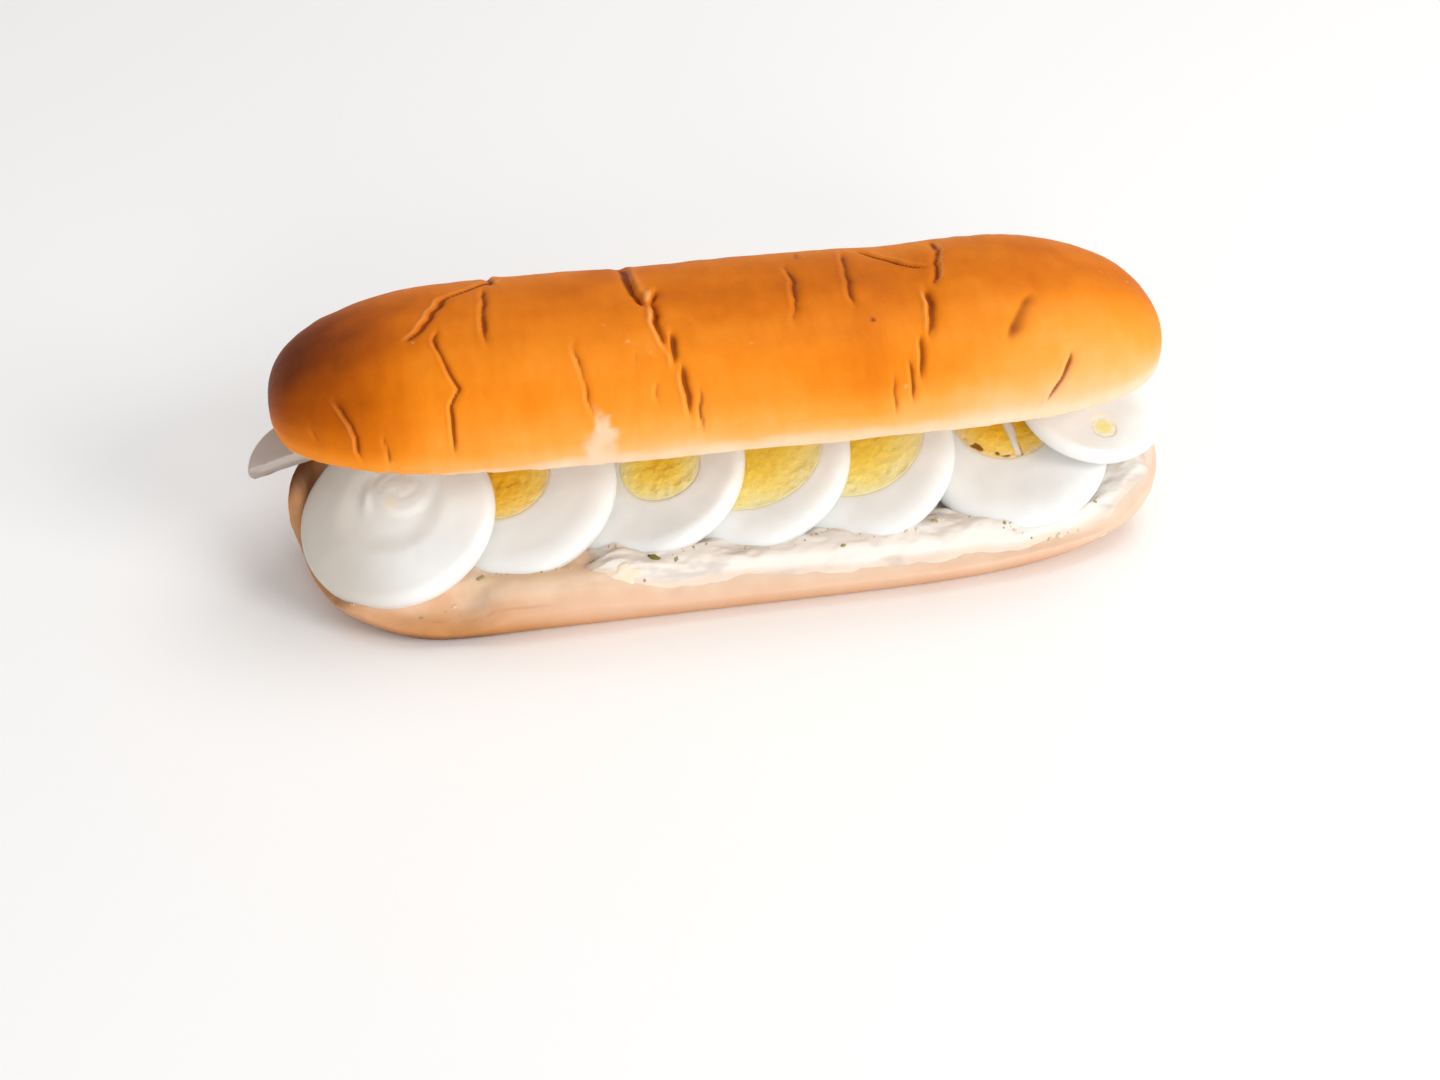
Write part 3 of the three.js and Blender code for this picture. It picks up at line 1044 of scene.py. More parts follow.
    def mouth_object(self) -> bpy.types.Object:
        """The space between the halves, as a solid to cut away.

        Returns:
            The space as an object, in millimetres.
        """
        form = self.form
        shape = bmesh.new()
        bmesh.ops.create_cone(
            shape, cap_ends=True, segments=self.mouth_around, radius1=1, radius2=1, depth=2
        )
        sides = [edge for edge in shape.edges if abs(edge.verts[0].co.z - edge.verts[1].co.z) > 1]
        bmesh.ops.subdivide_edges(shape, edges=sides, cuts=self.mouth_rings - 1)
        mesh = mesh_from(shape, "mouth")
        tube = mesh_points(mesh)
        turn = np.arctan2(tube[:, 1], tube[:, 0]) / FULL_TURN % 1.0
        x = tube[:, 2] * form.mouth_half_length
        front = form.lip_roll[0][0]
        on_floor = turn < self.floor_turn
        back_turn = (turn - self.floor_turn) / (1 - self.floor_turn)
        share = np.where(on_floor, turn / self.floor_turn, back_turn)
        floor_y = along(self.floor_path, share)
        y = np.where(on_floor, floor_y, form.hinge_y + (front - form.hinge_y) * share)
        z = np.zeros_like(y)
        for shift, weight in self.blur:
            at = np.clip(y + shift, front, form.hinge_y)
            z += weight * np.where(on_floor, form.floor_height(x, at), form.ceiling_height(at))
        points = np.stack([x, y, z], axis=-1)
        points[:, 2] += self.cut_crumb.at(points) * (y < form.hinge_y - 1)
        move_points(mesh, points)
        return object_from(mesh, "mouth")

    def build(self, material: bpy.types.Material) -> bpy.types.Object:
        """Builds and dresses the roll.

        Args:
            material: The roll's material.

        Returns:
            The finished roll.
        """
        form = self.form
        roll = self.crown_object()
        roll.name = self.name
        joined(roll, self.heel_object(), Join.ADD)
        joined(roll, self.half_object(form.back, self.back_rings, self.back_around), Join.ADD)
        joined(roll, self.mouth_object(), Join.CUT)
        self.soften(roll)
        self.weather(roll)
        finish_piece(roll, material, ["bun"])
        return roll

    def depth(self, points: np.ndarray) -> np.ndarray:
        """How deep points lie inside the uncut roll, in millimetres.

        Args:
            points: Places in millimetres, three to a row.

        Returns:
            Depths, less than 0 outside it.
        """
        form = self.form
        halves = (form.crown, form.heel, form.back)
        return -np.min([half.outside(points) for half in halves], axis=0)

    def soften(self, roll: bpy.types.Object) -> None:
        """Rounds the cut edges of the lips and the valley at the back.

        Args:
            roll: The cut roll, in millimetres.
        """
        shape = bmesh.new()
        shape.from_mesh(roll.data)
        bmesh.ops.remove_doubles(shape, verts=shape.verts, dist=self.weld)
        bmesh.ops.triangulate(shape, faces=[face for face in shape.faces if len(face.verts) > 4])
        rims = set()
        for edge in shape.edges:
            if edge.is_manifold and edge.calc_face_angle(0) > self.sharp_angle:
                if min(vert.co.z for vert in edge.verts) > self.clear_base:
                    rims.update(edge.verts)
        near = set(rims)
        for _ in range(self.soft_rows):
            near |= {edge.other_vert(vert) for vert in near for edge in vert.link_edges}
        for _ in range(self.soft_rounds):
            bmesh.ops.smooth_vert(
                shape,
                verts=list(near),
                factor=0.5,
                use_axis_x=True,
                use_axis_y=True,
                use_axis_z=True,
            )
        mesh = mesh_from(shape, self.name)
        roll.data = mesh

    def weather(self, roll: bpy.types.Object) -> None:
        """Gives the skin its fine relief and stores the baked tone with its painted shade and
        painted light, crumb, and the creases' painted shade and highlights.

        Args:
            roll: The softened roll, in millimetres.
        """
        form = self.form
        mesh = roll.data
        points = mesh_points(mesh)
        normals = mesh_normals(mesh)
        depth = self.depth(points)
        x, y, z = points.T
        crown = form.crown
        degrees = np.degrees(np.arctan2(z - crown.centre_z, y - crown.middle(x)))
        degrees = np.where(degrees < -90, degrees + 360, degrees)
        upper = self.crown_from.at(z)
        shade = form.crease_relief(x, degrees)[1]
        depth += form.crown_relief(x, np.radians(degrees)) * upper
        crumb = self.cut.crumb(points, depth, degrees, upper)
        lumps = self.broad_lumps.at(points) + self.small_lumps.at(points)
        lumps += self.wrinkles.at(points * np.array(self.wrinkle_stretch)) * upper
        pores = self.pores.at(points * np.array(self.pore_stretch))
        shift = lumps * (1 - crumb) * self.lumps_above.at(z) + pores * crumb
        move_points(mesh, points + normals * shift[:, None])
        seam = self.cut.seam(points, depth) * (1 - upper)
        paint(mesh, "crumb", crumb)
        # The stored value holds painted shade and painted light as well as the baked tone.
        paint(mesh, "bake_and_light", self.browning_and_light.at(points, degrees, upper))
        paint(mesh, "heel", 1 - upper)
        paint(mesh, "smear", along(self.smear, x) * (1 - upper))
        paint(mesh, "crease", shade * upper * (1 - crumb) + seam)


class YolkTone(Enum):
    """Yolk colours from the middle to the rim, as stops of a ramp."""

    GOLDEN = ((0.0, "fbbc26"), (0.5, "fdc83a"), (0.8, "fdd566"), (1.0, "f8dc98"))
    YELLOW = ((0.0, "fbcc3a"), (0.5, "fcda5c"), (0.8, "fae68c"), (0.97, "f2e8ac"), (1.0, "ece4ac"))
    FAINT = ((0.0, "f0e488"), (0.5, "f2eaa4"), (0.8, "f6f0cc"), (1.0, "faf4e4"))


@dataclass(frozen=True)
class Place:
    """Where a slice lies: the middle of its upper face, its slope and its lean."""

    centre: Point
    incline: float = 25
    fan: float = 14

    def matrix(self) -> Matrix:
        """Matrix that lays a flat slice in the row, in millimetres.

        Returns:
            The place's turn and move.
        """
        turn = Matrix.Rotation(math.radians(self.incline), 4, "X")
        lean = Matrix.Rotation(-math.radians(self.fan), 4, "Y")
        return Matrix.Translation(Vector(self.centre)) @ turn @ lean


def lay(mesh: bpy.types.Mesh, place: Place) -> None:
    """Moves a flat slice's vertices to its place in the row.

    Args:
        mesh: The slice, flat.
        place: Where it lies in the row.
    """
    matrix = np.array(place.matrix())
    points = mesh_points(mesh)
    move_points(mesh, points @ matrix[:3, :3].T + matrix[:3, 3])


def spun(profile: Sequence[tuple[float, float]], steps: int, closed: bool) -> bmesh.types.BMesh:
    """Turns a profile once round the upright axis.

    Args:
        profile: Radius and height of each point.
        steps: How many steps the turn has.
        closed: Whether the profile's last point joins its first.

    Returns:
        A closed shape.
    """
    shape = bmesh.new()
    verts = [shape.verts.new((radius, 0, height)) for radius, height in profile]
    edges = [shape.edges.new(pair) for pair in zip(verts, verts[1:])]
    if closed:
        edges.append(shape.edges.new((verts[-1], verts[0])))
    bmesh.ops.spin(
        shape,
        geom=verts + edges,
        cent=(0, 0, 0),
        axis=(0, 0, 1),
        dvec=(0, 0, 0),
        angle=FULL_TURN,
        steps=steps,
        use_merge=True,
    )
    bmesh.ops.remove_doubles(shape, verts=shape.verts, dist=1e-4)
    return shape


def between(start: float, end: float, count: int) -> list[float]:
    """Evenly spaced values from start to end, both included."""
    return [start + (end - start) * index / (count - 1) for index in range(count)]


def under_rim(outer: float, deep: float, steps: Pairs) -> list[tuple[float, float]]:
    """Points of a disc's lower edge, from pairs of inset and lift."""
    return [(outer - inset, lift - deep) for inset, lift in steps]


@dataclass(frozen=True)
class RingForm:
    """Small sizes of a ring's section, and the unevenness of its edges and face."""

    tight: float = 0.06
    wall_inset: float = 0.1
    wall_drop: float = 0.3
    wall_foot: float = 1.2
    wall_rows: int = 3
    under: Pairs = ((0.5, 0.6), (1.4, 0))
    under_inset: float = 3
    under_rows: int = 4
    hole_foot: float = 0.9
    hole_drop: float = 0.5
    arc_rows: int = 9
    face_rows: int = 14
    edge_lumps: Grain = Grain(1, 0.9, 0, 2)
    edge_shift: float = 7
    outer_uneven: float = 0.012
    yolk_uneven: float = 0.02
    face: Rise = Rise(-1.6, 0)
    face_lumps: Grain = Grain(0.12, 7, 3, 2)
    face_from: Rise = Rise(0, 0.3)
    swell: float = 0.08
    swell_from: Rise = Rise(0.35, 0.8)
    swell_to: Rise = Rise(1.0, 0.85)


@dataclass(frozen=True)
class YolkForm:
    """Small sizes of a yolk's section, its crumbs and pits, and a split yolk's crevices, with the
    painted shade of its pits and the painted shadow of its crevices.
    """

    tight: float = 0.06
    wall_drop: float = 0.9
    under: Pairs = ((0, 0.6), (0.5, 0))
    under_share: float = 0.8
    under_rows: int = 4
    face_rows: int = 40
    face: Rise = Rise(-1.2, -0.1)
    face_inset: float = 1.0
    rough_radius: float = 8
    crumbs: Grain = Grain(1, 1.3, 11, 3)
    crumb_height: float = 0.1
    crumb_shade: float = 0.25
    pits: Grain = Grain(1, 2.2, 17, 2)
    pit_share: float = 0.45
    pit_depth: float = 0.3
    pit_shade: float = 1.3
    waves: Grain = Grain(0.1, 6, 0)
    crevices: Grain = Grain(1, 2.4, 77, 2)
    crevice_rise: Rise = Rise(0.0, 0.7)
    crevice_at: float = 0.92
    crevice_sharpness: float = 9
    crevice_left: Rise = Rise(-2.9, -2.6)
    crevice_right: Rise = Rise(-1.3, -1.6)
    crevice_shade: float = 2.0


@dataclass(frozen=True)
class FlapForm:
    """The strip of white between the halves of a split yolk: half sizes, lean and depth."""

    width: float = 1.6
    length_share: float = 1.12
    height: float = 1.9
    lean: float = -0.105
    depth: float = 1.45
    sway: Grain = Grain(0.3, 4, 51, 2)
    lumps: Grain = Grain(0.2, 3, 53, 2)
    fineness: int = 5


@dataclass
class EggSlice:
    """A slice across a boiled egg: a ring of white and the yolk that fills it."""

    number: str
    place: Place
    radius: float
    yolk: float
    off: tuple[float, float]
    tones: YolkTone
    thickness: float = 4.6
    soft: float = 3.8
    gap: float = -0.05
    steps: int = 144
    split: float | None = None
    gap_half: float = 0.8
    split_lean: float = math.radians(6)
    ring: RingForm = RingForm()
    disc: YolkForm = YolkForm()
    flap: FlapForm = FlapForm()

    @property
    def seed(self) -> int:
        """Number that sets the slice's own unevenness."""
        return int(self.number)

    def rim(self, angle: np.ndarray, size: float) -> np.ndarray:
        """Unevenness of a round edge, as a share of its radius."""
        around = np.stack([np.cos(angle), np.sin(angle), np.zeros_like(angle)], axis=-1)
        return 1 + size * self.ring.edge_lumps.at(around + self.ring.edge_shift, self.seed)

    def white_mesh(self) -> bpy.types.Mesh:
        """The ring of white, flat, with its upper face at height 0.

        Returns:
            The ring in its place in the row.
        """
        ring = self.ring
        hole, outer, deep, wide = self.yolk, self.radius, self.thickness, self.soft
        arc = [math.radians(angle) for angle in between(90, 0, ring.arc_rows)]
        edge = 0.5 * deep
        wall = between(-edge - ring.wall_drop, ring.wall_foot - deep, ring.wall_rows)
        profile = [(hole, -ring.tight)]
        profile += [(r, 0.0) for r in between(hole + ring.tight, outer - wide, ring.face_rows)]
        profile += [(outer - wide + wide * math.cos(a), edge * math.sin(a) - edge) for a in arc[1:]]
        profile += [(outer - ring.wall_inset, height) for height in wall]
        profile += under_rim(outer, deep, ring.under)
        profile += [(r, -deep) for r in between(outer - ring.under_inset, hole, ring.under_rows)]
        socket = between(ring.hole_foot - deep, -ring.hole_drop, ring.under_rows)
        profile += [(hole, height) for height in socket]
        mesh = mesh_from(spun(profile, self.steps, True), "white")
        points = mesh_points(mesh)
        radius = np.hypot(points[:, 0], points[:, 1])
        angle = np.arctan2(points[:, 1], points[:, 0])
        share = np.clip((radius - hole) / (outer - hole), 0, 1)
        turn = np.stack([np.cos(angle), np.sin(angle)], axis=-1)
        inner = np.array(self.off) + hole * self.rim(angle, ring.yolk_uneven)[:, None] * turn
        full = outer * self.rim(angle, ring.outer_uneven)[:, None] * turn
        points[:, :2] = inner + (full - inner) * share[:, None]
        top = ring.face.at(points[:, 2])
        points[:, 2] += top * ring.face_lumps.at(points, self.seed) * ring.face_from.at(share)
        points[:, 2] += top * ring.swell * ring.swell_from.at(share) * ring.swell_to.at(share)
        move_points(mesh, points)
        paint(mesh, "rim", share)
        lay(mesh, self.place)
        return mesh

    def yolk_shape(self) -> bmesh.types.BMesh:
        """The whole yolk, flat, before its crumb relief.

        Returns:
            The yolk, about the origin.
        """
        disc = self.disc
        radius, deep = self.yolk - self.gap, self.thickness
        profile = [(r, 0.0) for r in between(0, radius - disc.tight, disc.face_rows)]
        profile += [(radius, -disc.tight), (radius, -disc.wall_drop)]
        profile += under_rim(radius, deep, disc.under)
        profile += [(r, -deep) for r in between(radius * disc.under_share, 0, disc.under_rows)]
        return spun(profile, self.steps, False)

    def crumble(self, mesh: bpy.types.Mesh) -> None:
        """Moves a yolk to its socket and roughens it.

        Args:
            mesh: The yolk or a half of it, flat, about the origin.
        """
        disc = self.disc
        points = mesh_points(mesh)
        radius = np.hypot(points[:, 0], points[:, 1])
        angle = np.arctan2(points[:, 1], points[:, 0])
        points[:, :2] *= self.rim(angle, self.ring.yolk_uneven)[:, None]
        top = disc.face.at(points[:, 2])
        top *= step(self.yolk, self.yolk - disc.face_inset, radius)
        crumbs = disc.crumbs.at(points, self.seed)
        pits = np.minimum(0, disc.pits.at(points, self.seed) + disc.pit_share)
        rough = min(1.0, self.yolk / disc.rough_radius)
        uneven = disc.crumb_height * crumbs + disc.pit_depth * pits
        points[:, 2] += top * rough * (uneven + disc.waves.at(points, self.seed))
        points[:, :2] += np.array(self.off)
        move_points(mesh, points)
        paint(mesh, "rim", radius / self.yolk)
        # Painted shade in the pits and between the crumbs; below, painted shadow in a split yolk's
        # crevices.
        painted_pit_shade = rough * np.clip(-disc.pit_shade * pits - disc.crumb_shade * crumbs, 0, 1)
        if self.split is not None:
            away = (radius / self.yolk - disc.crevice_at) * disc.crevice_sharpness
            edge = bell(away, 1) * disc.crevice_left.at(angle) * disc.crevice_right.at(angle)
            ragged = disc.crevice_rise.at(disc.crevices.at(points))
            painted_pit_shade += disc.crevice_shade * edge * ragged
        paint(mesh, "painted_pit_shade", painted_pit_shade)
        lay(mesh, self.place)

    def yolk_meshes(self) -> dict[str, bpy.types.Mesh]:
        """The yolk's pieces by the end of their names.

        Returns:
            One mesh, or the two halves of a split yolk.
        """
        if self.split is None:
            mesh = mesh_from(self.yolk_shape(), "yolk")
            self.crumble(mesh)
            return {self.number: mesh}
        meshes = {}
        normal = Vector((math.cos(self.split_lean), math.sin(self.split_lean), 0))
        for letter, side in (("a", 1), ("b", -1)):
            shape = self.yolk_shape()
            at = Vector((self.split - self.off[0] - side * self.gap_half, 0, 0))
            cut = bmesh.ops.bisect_plane(
                shape,
                geom=shape.verts[:] + shape.edges[:] + shape.faces[:],
                dist=1e-4,
                plane_co=at,
                plane_no=normal * side,
                clear_outer=True,
            )
            rim = [item for item in cut["geom_cut"] if isinstance(item, bmesh.types.BMEdge)]
            bmesh.ops.holes_fill(shape, edges=rim, sides=0)
            mesh = mesh_from(shape, "yolk")
            self.crumble(mesh)
            meshes[self.number + letter] = mesh
        return meshes

    def build(self, white: bpy.types.Material, yolk: bpy.types.Material) -> None:
        """Builds and dresses the slice.

        Args:
            white: Material of the white.
            yolk: Material of the yolk.
        """
        ring = object_from(self.white_mesh(), "white_ring_" + self.number)
        finish_piece(ring, white, ["egg_white_" + self.number])
        for ending, mesh in self.yolk_meshes().items():
            disc = object_from(mesh, "yolk_disc_" + ending)
            finish_piece(disc, yolk, ["egg_yolk_" + ending])
        if self.split is not None:
            flap = object_from(self.flap_mesh(), "white_flap")
            finish_piece(flap, white)

    def flap_mesh(self) -> bpy.types.Mesh:
        """The strip of white that stands between the halves of a split yolk.

        Returns:
            The strip in its place in the row.
        """
        flap = self.flap
        shape = bmesh.new()
        bmesh.ops.create_icosphere(shape, subdivisions=flap.fineness, radius=1)
        mesh = mesh_from(shape, "flap")
        half_sizes = np.array([flap.width, flap.length_share * self.yolk, flap.height])
        points = mesh_points(mesh) * half_sizes
        points[:, 0] += flap.sway.at(points) + flap.lean * points[:, 1] + self.split
        points[:, 1] += self.off[1]
        points[:, 2] += flap.lumps.at(points) - flap.depth
        move_points(mesh, points)
        lay(mesh, self.place)
        return mesh


@dataclass(frozen=True)
class Swirl:
    """The curl of white that stands in the cap's hollow, and the nub beside it."""

    x: float = 2.6
    y: float = 3.4
    stretch: float = 1.15
    reach: float = 5.6
    oval: float = 0.5
    oval_turn: float = 0.6
    lobes: int = 3
    lobe: float = 0.3
    mound: float = 0.57
    mound_edge: Rise = Rise(1.0, -1.4)
    curl: float = -0.15
    curl_at: float = 2.7
    curl_pitch: float = 0.45
    curl_width: float = 0.8
    curl_edge: Rise = Rise(0, -2)
    nub: float = 0.75
    nub_x: float = -4.6
    nub_lean: float = 0.12
    nub_foot: float = 3
    nub_narrow: float = 1.6
    nub_long: float = 0.5
    nub_size: float = 1.5

    def rise(self, points: np.ndarray) -> np.ndarray:
        """How far the curl and the nub stand up.

        Args:
            points: Places on the flat cap in millimetres.

        Returns:
            Rise in millimetres.
        """
        x, y = points[:, 0], points[:, 1]
        away = np.hypot((x - self.x) / self.stretch, y - self.y)
        turn = np.arctan2(y - self.y, x - self.x)
        reach = self.reach + self.oval * np.cos(turn + self.oval_turn)
        beyond = away - reach - self.lobe * np.sin(self.lobes * turn)
        mound = self.mound * self.mound_edge.at(beyond)
        line = bell(away - self.curl_at - self.curl_pitch * turn, self.curl_width)
        curl = self.curl * line * self.curl_edge.at(beyond)
        lean = x - self.nub_x - self.nub_lean * (y - self.nub_foot)
        across = np.hypot(lean * self.nub_narrow, (y - self.y) * self.nub_long)
        return mound + curl + self.nub * bell(across, self.nub_size)


@dataclass
class EggCap:
    """The rounded end of an egg with the shallow hollow of its air cell."""

    place: Place = Place((-69.8, -12.1, 18.5))
    radius: float = 20
    rise: float = 3.4
    thickness: float = 4.2
    face_share: float = 0.9
    face_rows: int = 44
    rim: Pairs = ((0.93, 0.25), (0.955, 0.6), (0.975, 1.05), (0.99, 1.6), (0.998, 2.2))
    wall_top: float = -2.0
    under: Pairs = ((0, 1.4), (0.3, 0.6), (1.2, 0))
    under_share: float = 0.7
    under_rows: int = 4
    dimple_radius: float = 9.8
    dimple_depth: float = 0.65
    dimple_off: tuple[float, float] = (0.3, 0.6)
    dimple_edge: Rise = Rise(1.6, -3.4)
    dimple_uneven: Grain = Grain(0.06, 1.1, 8, 2)
    dimple_shift: float = 9
    lip: float = 0.15
    lip_away: float = 1.6
    lip_width: float = 2
    edge_lumps: Grain = Grain(0.01, 0.9, 5, 2)
    edge_shift: float = 3
    face: Rise = Rise(-1.5, 0)
    face_lumps: Grain = Grain(0.12, 7, 19, 2)
    # Painted shade on the cap's left side, which lies in shade.
    shade_from: Rise = Rise(2, -17)
    shade_lean: float = 0.3
    swirl: Swirl = Swirl()
    steps: int = 160
    node: str = "egg_white_1"

    def build(self, material: bpy.types.Material) -> None:
        """Builds and dresses the cap.

        Args:
            material: Its material.
        """
        outer, deep = self.radius, self.thickness
        face = between(0, outer * self.face_share, self.face_rows)
        profile = [(r, self.rise * (1 - (r / outer) ** 2)) for r in face]
        last = profile[-1][1]
        profile += [(outer * share, last - drop) for share, drop in self.rim]
        profile += [(outer, self.wall_top), *under_rim(outer, deep, self.under)]
        profile += [(r, -deep) for r in between(outer * self.under_share, 0, self.under_rows)]
        mesh = mesh_from(spun(profile, self.steps, False), "cap")
        points = mesh_points(mesh)
        angle = np.arctan2(points[:, 1], points[:, 0])
        around = np.stack([np.cos(angle), np.sin(angle), angle * 0], axis=-1)
        points[:, :2] *= 1 + self.edge_lumps.at(around + self.edge_shift)[:, None]
        top = self.face.at(points[:, 2])
        away = np.hypot(points[:, 0] - self.dimple_off[0], points[:, 1] - self.dimple_off[1])
        uneven = 1 + self.dimple_uneven.at(around + self.dimple_shift)
        beyond = away - self.dimple_radius * uneven
        lip = self.lip * bell(beyond - self.lip_away, self.lip_width)
        points[:, 2] += top * (lip - self.dimple_depth * self.dimple_edge.at(beyond))
        points[:, 2] += top * self.swirl.rise(points)
        points[:, 2] += top * self.face_lumps.at(points)
        move_points(mesh, points)
        paint(mesh, "rim", np.clip(np.hypot(points[:, 0], points[:, 1]) / outer, 0, 1))
        # Painted shade, growing towards the cap's left side.
        paint(mesh, "painted_shade", self.shade_from.at(points[:, 0] + self.shade_lean * points[:, 1]))
        lay(mesh, self.place)
        cap = object_from(mesh, "egg_end_cap")
        finish_piece(cap, material, [self.node])


@dataclass
class WhitePiece:
    """A broken piece of white behind the row, its rounded side to the back, greyed all over with
    painted shade.
    """

    place: Place = Place((-86, -4.2, 27.6), 20, 6)
    radius: float = 11.8
    thickness: float = 3.4
    edge: float = 1.1
    arc_rows: int = 7
    face_rows: int = 16
    under: Pairs = ((0.1, 1.0), (0.8, 0))
    under_share: float = 0.7
    under_rows: int = 4
    steps: int = 112
    slant: float = math.radians(12)
    broken_edge: Rise = Rise(3, 0)
    edge_lumps: Grain = Grain(0.5, 4, 3, 2)
    face_lumps: Grain = Grain(0.15, 5, 13, 2)
    # Share of painted shade over the whole piece, which lies in shade.
    painted_shade: float = 0.7
    node: str = "egg_white_8"

    def build(self, material: bpy.types.Material) -> None:
        """Builds and dresses the piece.

        Args:
            material: Its material.
        """
        outer, deep, edge = self.radius, self.thickness, self.edge
        arc = [math.radians(angle) for angle in between(90, 0, self.arc_rows)]
        profile = [(r, 0.0) for r in between(0, outer - edge, self.face_rows)]
        profile += [(outer - edge + edge * math.cos(a), edge * math.sin(a) - edge) for a in arc[1:]]
        profile += under_rim(outer, deep, self.under)
        profile += [(r, -deep) for r in between(outer * self.under_share, 0, self.under_rows)]
        shape = spun(profile, self.steps, False)
        cut = bmesh.ops.bisect_plane(
            shape,
            geom=shape.verts[:] + shape.edges[:] + shape.faces[:],
            dist=1e-4,
            plane_co=(-outer, 0, 0),
            plane_no=(math.sin(self.slant), -math.cos(self.slant), 0),
            clear_outer=True,
        )
        rim = [item for item in cut["geom_cut"] if isinstance(item, bmesh.types.BMEdge)]
        bmesh.ops.holes_fill(shape, edges=rim, sides=0)
        mesh = mesh_from(shape, "piece")
        points = mesh_points(mesh)
        front = self.broken_edge.at(points[:, 1])
        points[:, 1] += front * self.edge_lumps.at(points)
        points[:, 2] += self.face_lumps.at(points)
        move_points(mesh, points)
        paint(mesh, "rim", np.clip(np.hypot(points[:, 0], points[:, 1]) / outer, 0, 1))
        paint(mesh, "painted_shade", np.full(len(points), self.painted_shade))
        lay(mesh, self.place)
        finish_piece(object_from(mesh, "white_piece"), material, [self.node])


@dataclass
class Spread:
    """The layer of spread on the mouth's floor, which rises out of the crumb."""

    form: RollForm = field(default_factory=RollForm)
    rows: int = 420
    columns: int = 72
    left: float = -34.5
    right: float = 87
    end_inset: float = 0.5
    left_fade: float = 2.6
    margin: float = 0.7
    under: float = 1.4
    sunk: float = 0.3
    full: float = 1.8
    stretch: float = 2.2
    ragged: Grain = Grain(0.7, 11, 3, 2)
    ragged_inset: float = 0.4
    broad_lumps: Grain = Grain(0.5, 11, 7, 2)
    small_lumps: Grain = Grain(0.32, 3.6, 9, 2)
    lumps_from: Rise = Rise(-0.5, 2.5)
    ridge: float = 2.1
    ridge_y: float = -22.5
    ridge_width: float = 6
    ridge_share: Pairs = ((58, 1), (74, 0.2))
    edge_up: Rise = Rise(-0.3, 3.2)
    edge_down: Rise = Rise(0.4, -0.8)
    outline: Sequence[tuple[float, float, float]] = (
        (-34, -28.2, -17),
        (-29, -29.2, -14),
        (-22, -31, -12.8),
        (-14, -31.4, -8),
        (-4, -31.4, -6),
        (8, -31.6, -6),
        (20, -31.6, -6),
        (44, -31, -5),
        (56, -29.8, -4),
        (66, -28, -3),
        (74, -25.4, -1),
        (80, -22.4, 2),
        (84, -19.2, 3),
        (87, -15.4, 1),
    )

    def edges(self, x: np.ndarray) -> tuple[np.ndarray, np.ndarray]:
        """Y of the front and back edge at places along the roll.

        Args:
            x: Places along the roll in millimetres.

        Returns:
            The front edge's places, then the back edge's.
        """
        places = [row[0] for row in self.outline]
        front = np.interp(x, places, [row[1] for row in self.outline])
        back = np.interp(x, places, [row[2] for row in self.outline])
        return front, back

    def height(self, x: np.ndarray, y: np.ndarray) -> np.ndarray:
        """Height of the spread above the floor, less than 0 where there is none.

        Args:
            x: Places along the roll.
            y: Places across it.

        Returns:
            Heights in millimetres.
        """
        front, back = self.edges(x)
        place = np.stack([x, y * self.stretch, np.zeros_like(x)], axis=-1)
        ragged = self.ragged.at(place) - self.ragged_inset
        inside = np.minimum(y - front, back - y)
        left = (x - self.left - self.end_inset) / self.left_fade
        ends = np.minimum(left, self.right - self.end_inset - x)
        inside = np.minimum(inside, ends) + ragged
        lumps = self.broad_lumps.at(place) + self.small_lumps.at(place)
        ridge = self.ridge * bell(y - self.ridge_y, self.ridge_width)
        full = self.full + ridge * along(self.ridge_share, x)
        body = full * self.edge_up.at(inside) - self.edge_down.at(inside)
        return body + lumps * self.lumps_from.at(inside)

    def build(self, material: bpy.types.Material) -> None:
        """Builds and dresses the spread.

        Args:
            material: Its material.
        """
        shape = bmesh.new()
        bmesh.ops.create_grid(shape, x_segments=self.rows, y_segments=self.columns, size=1)
        sheet = bmesh.ops.extrude_face_region(shape, geom=shape.faces[:])
        lower = [item for item in sheet["geom"] if isinstance(item, bmesh.types.BMVert)]
        bmesh.ops.translate(shape, verts=lower, vec=(0, 0, -1))
        mesh = mesh_from(shape, "spread")
        flat = mesh_points(mesh)
        x = self.left + (self.right - self.left) * (flat[:, 0] + 1) / 2
        front, back = self.edges(x)
        share = (flat[:, 1] + 1) / 2
        y = front - self.margin + (back - front + 2 * self.margin) * share
        floor = self.form.floor_height(x, y)
        top = flat[:, 2] > -0.5
        upper = np.maximum(self.height(x, y), self.sunk - self.under)
        z = floor + np.where(top, upper, -self.under)
        move_points(mesh, np.stack([x, y, z], axis=-1))
        paint(mesh, "thick", np.clip(self.height(x, y) / self.full, 0, 1))
        finish_piece(object_from(mesh, "white_spread"), material, ["spread"])


class BitKind(Enum):
    """Kinds of small bits, by their place on the bits' ramp."""

    CREAM = 0.0
    BREAD = 0.25
    TAN = 0.5
    OLIVE = 0.75
    GREEN = 1.0


@dataclass(frozen=True)
class Bit:
    """A small bit that lies on the floor: its place, half sizes, turn and kind."""

    x: float
    y: float
    length: float
    width: float
    turn: float
    kind: BitKind
    rise: float = 0.4


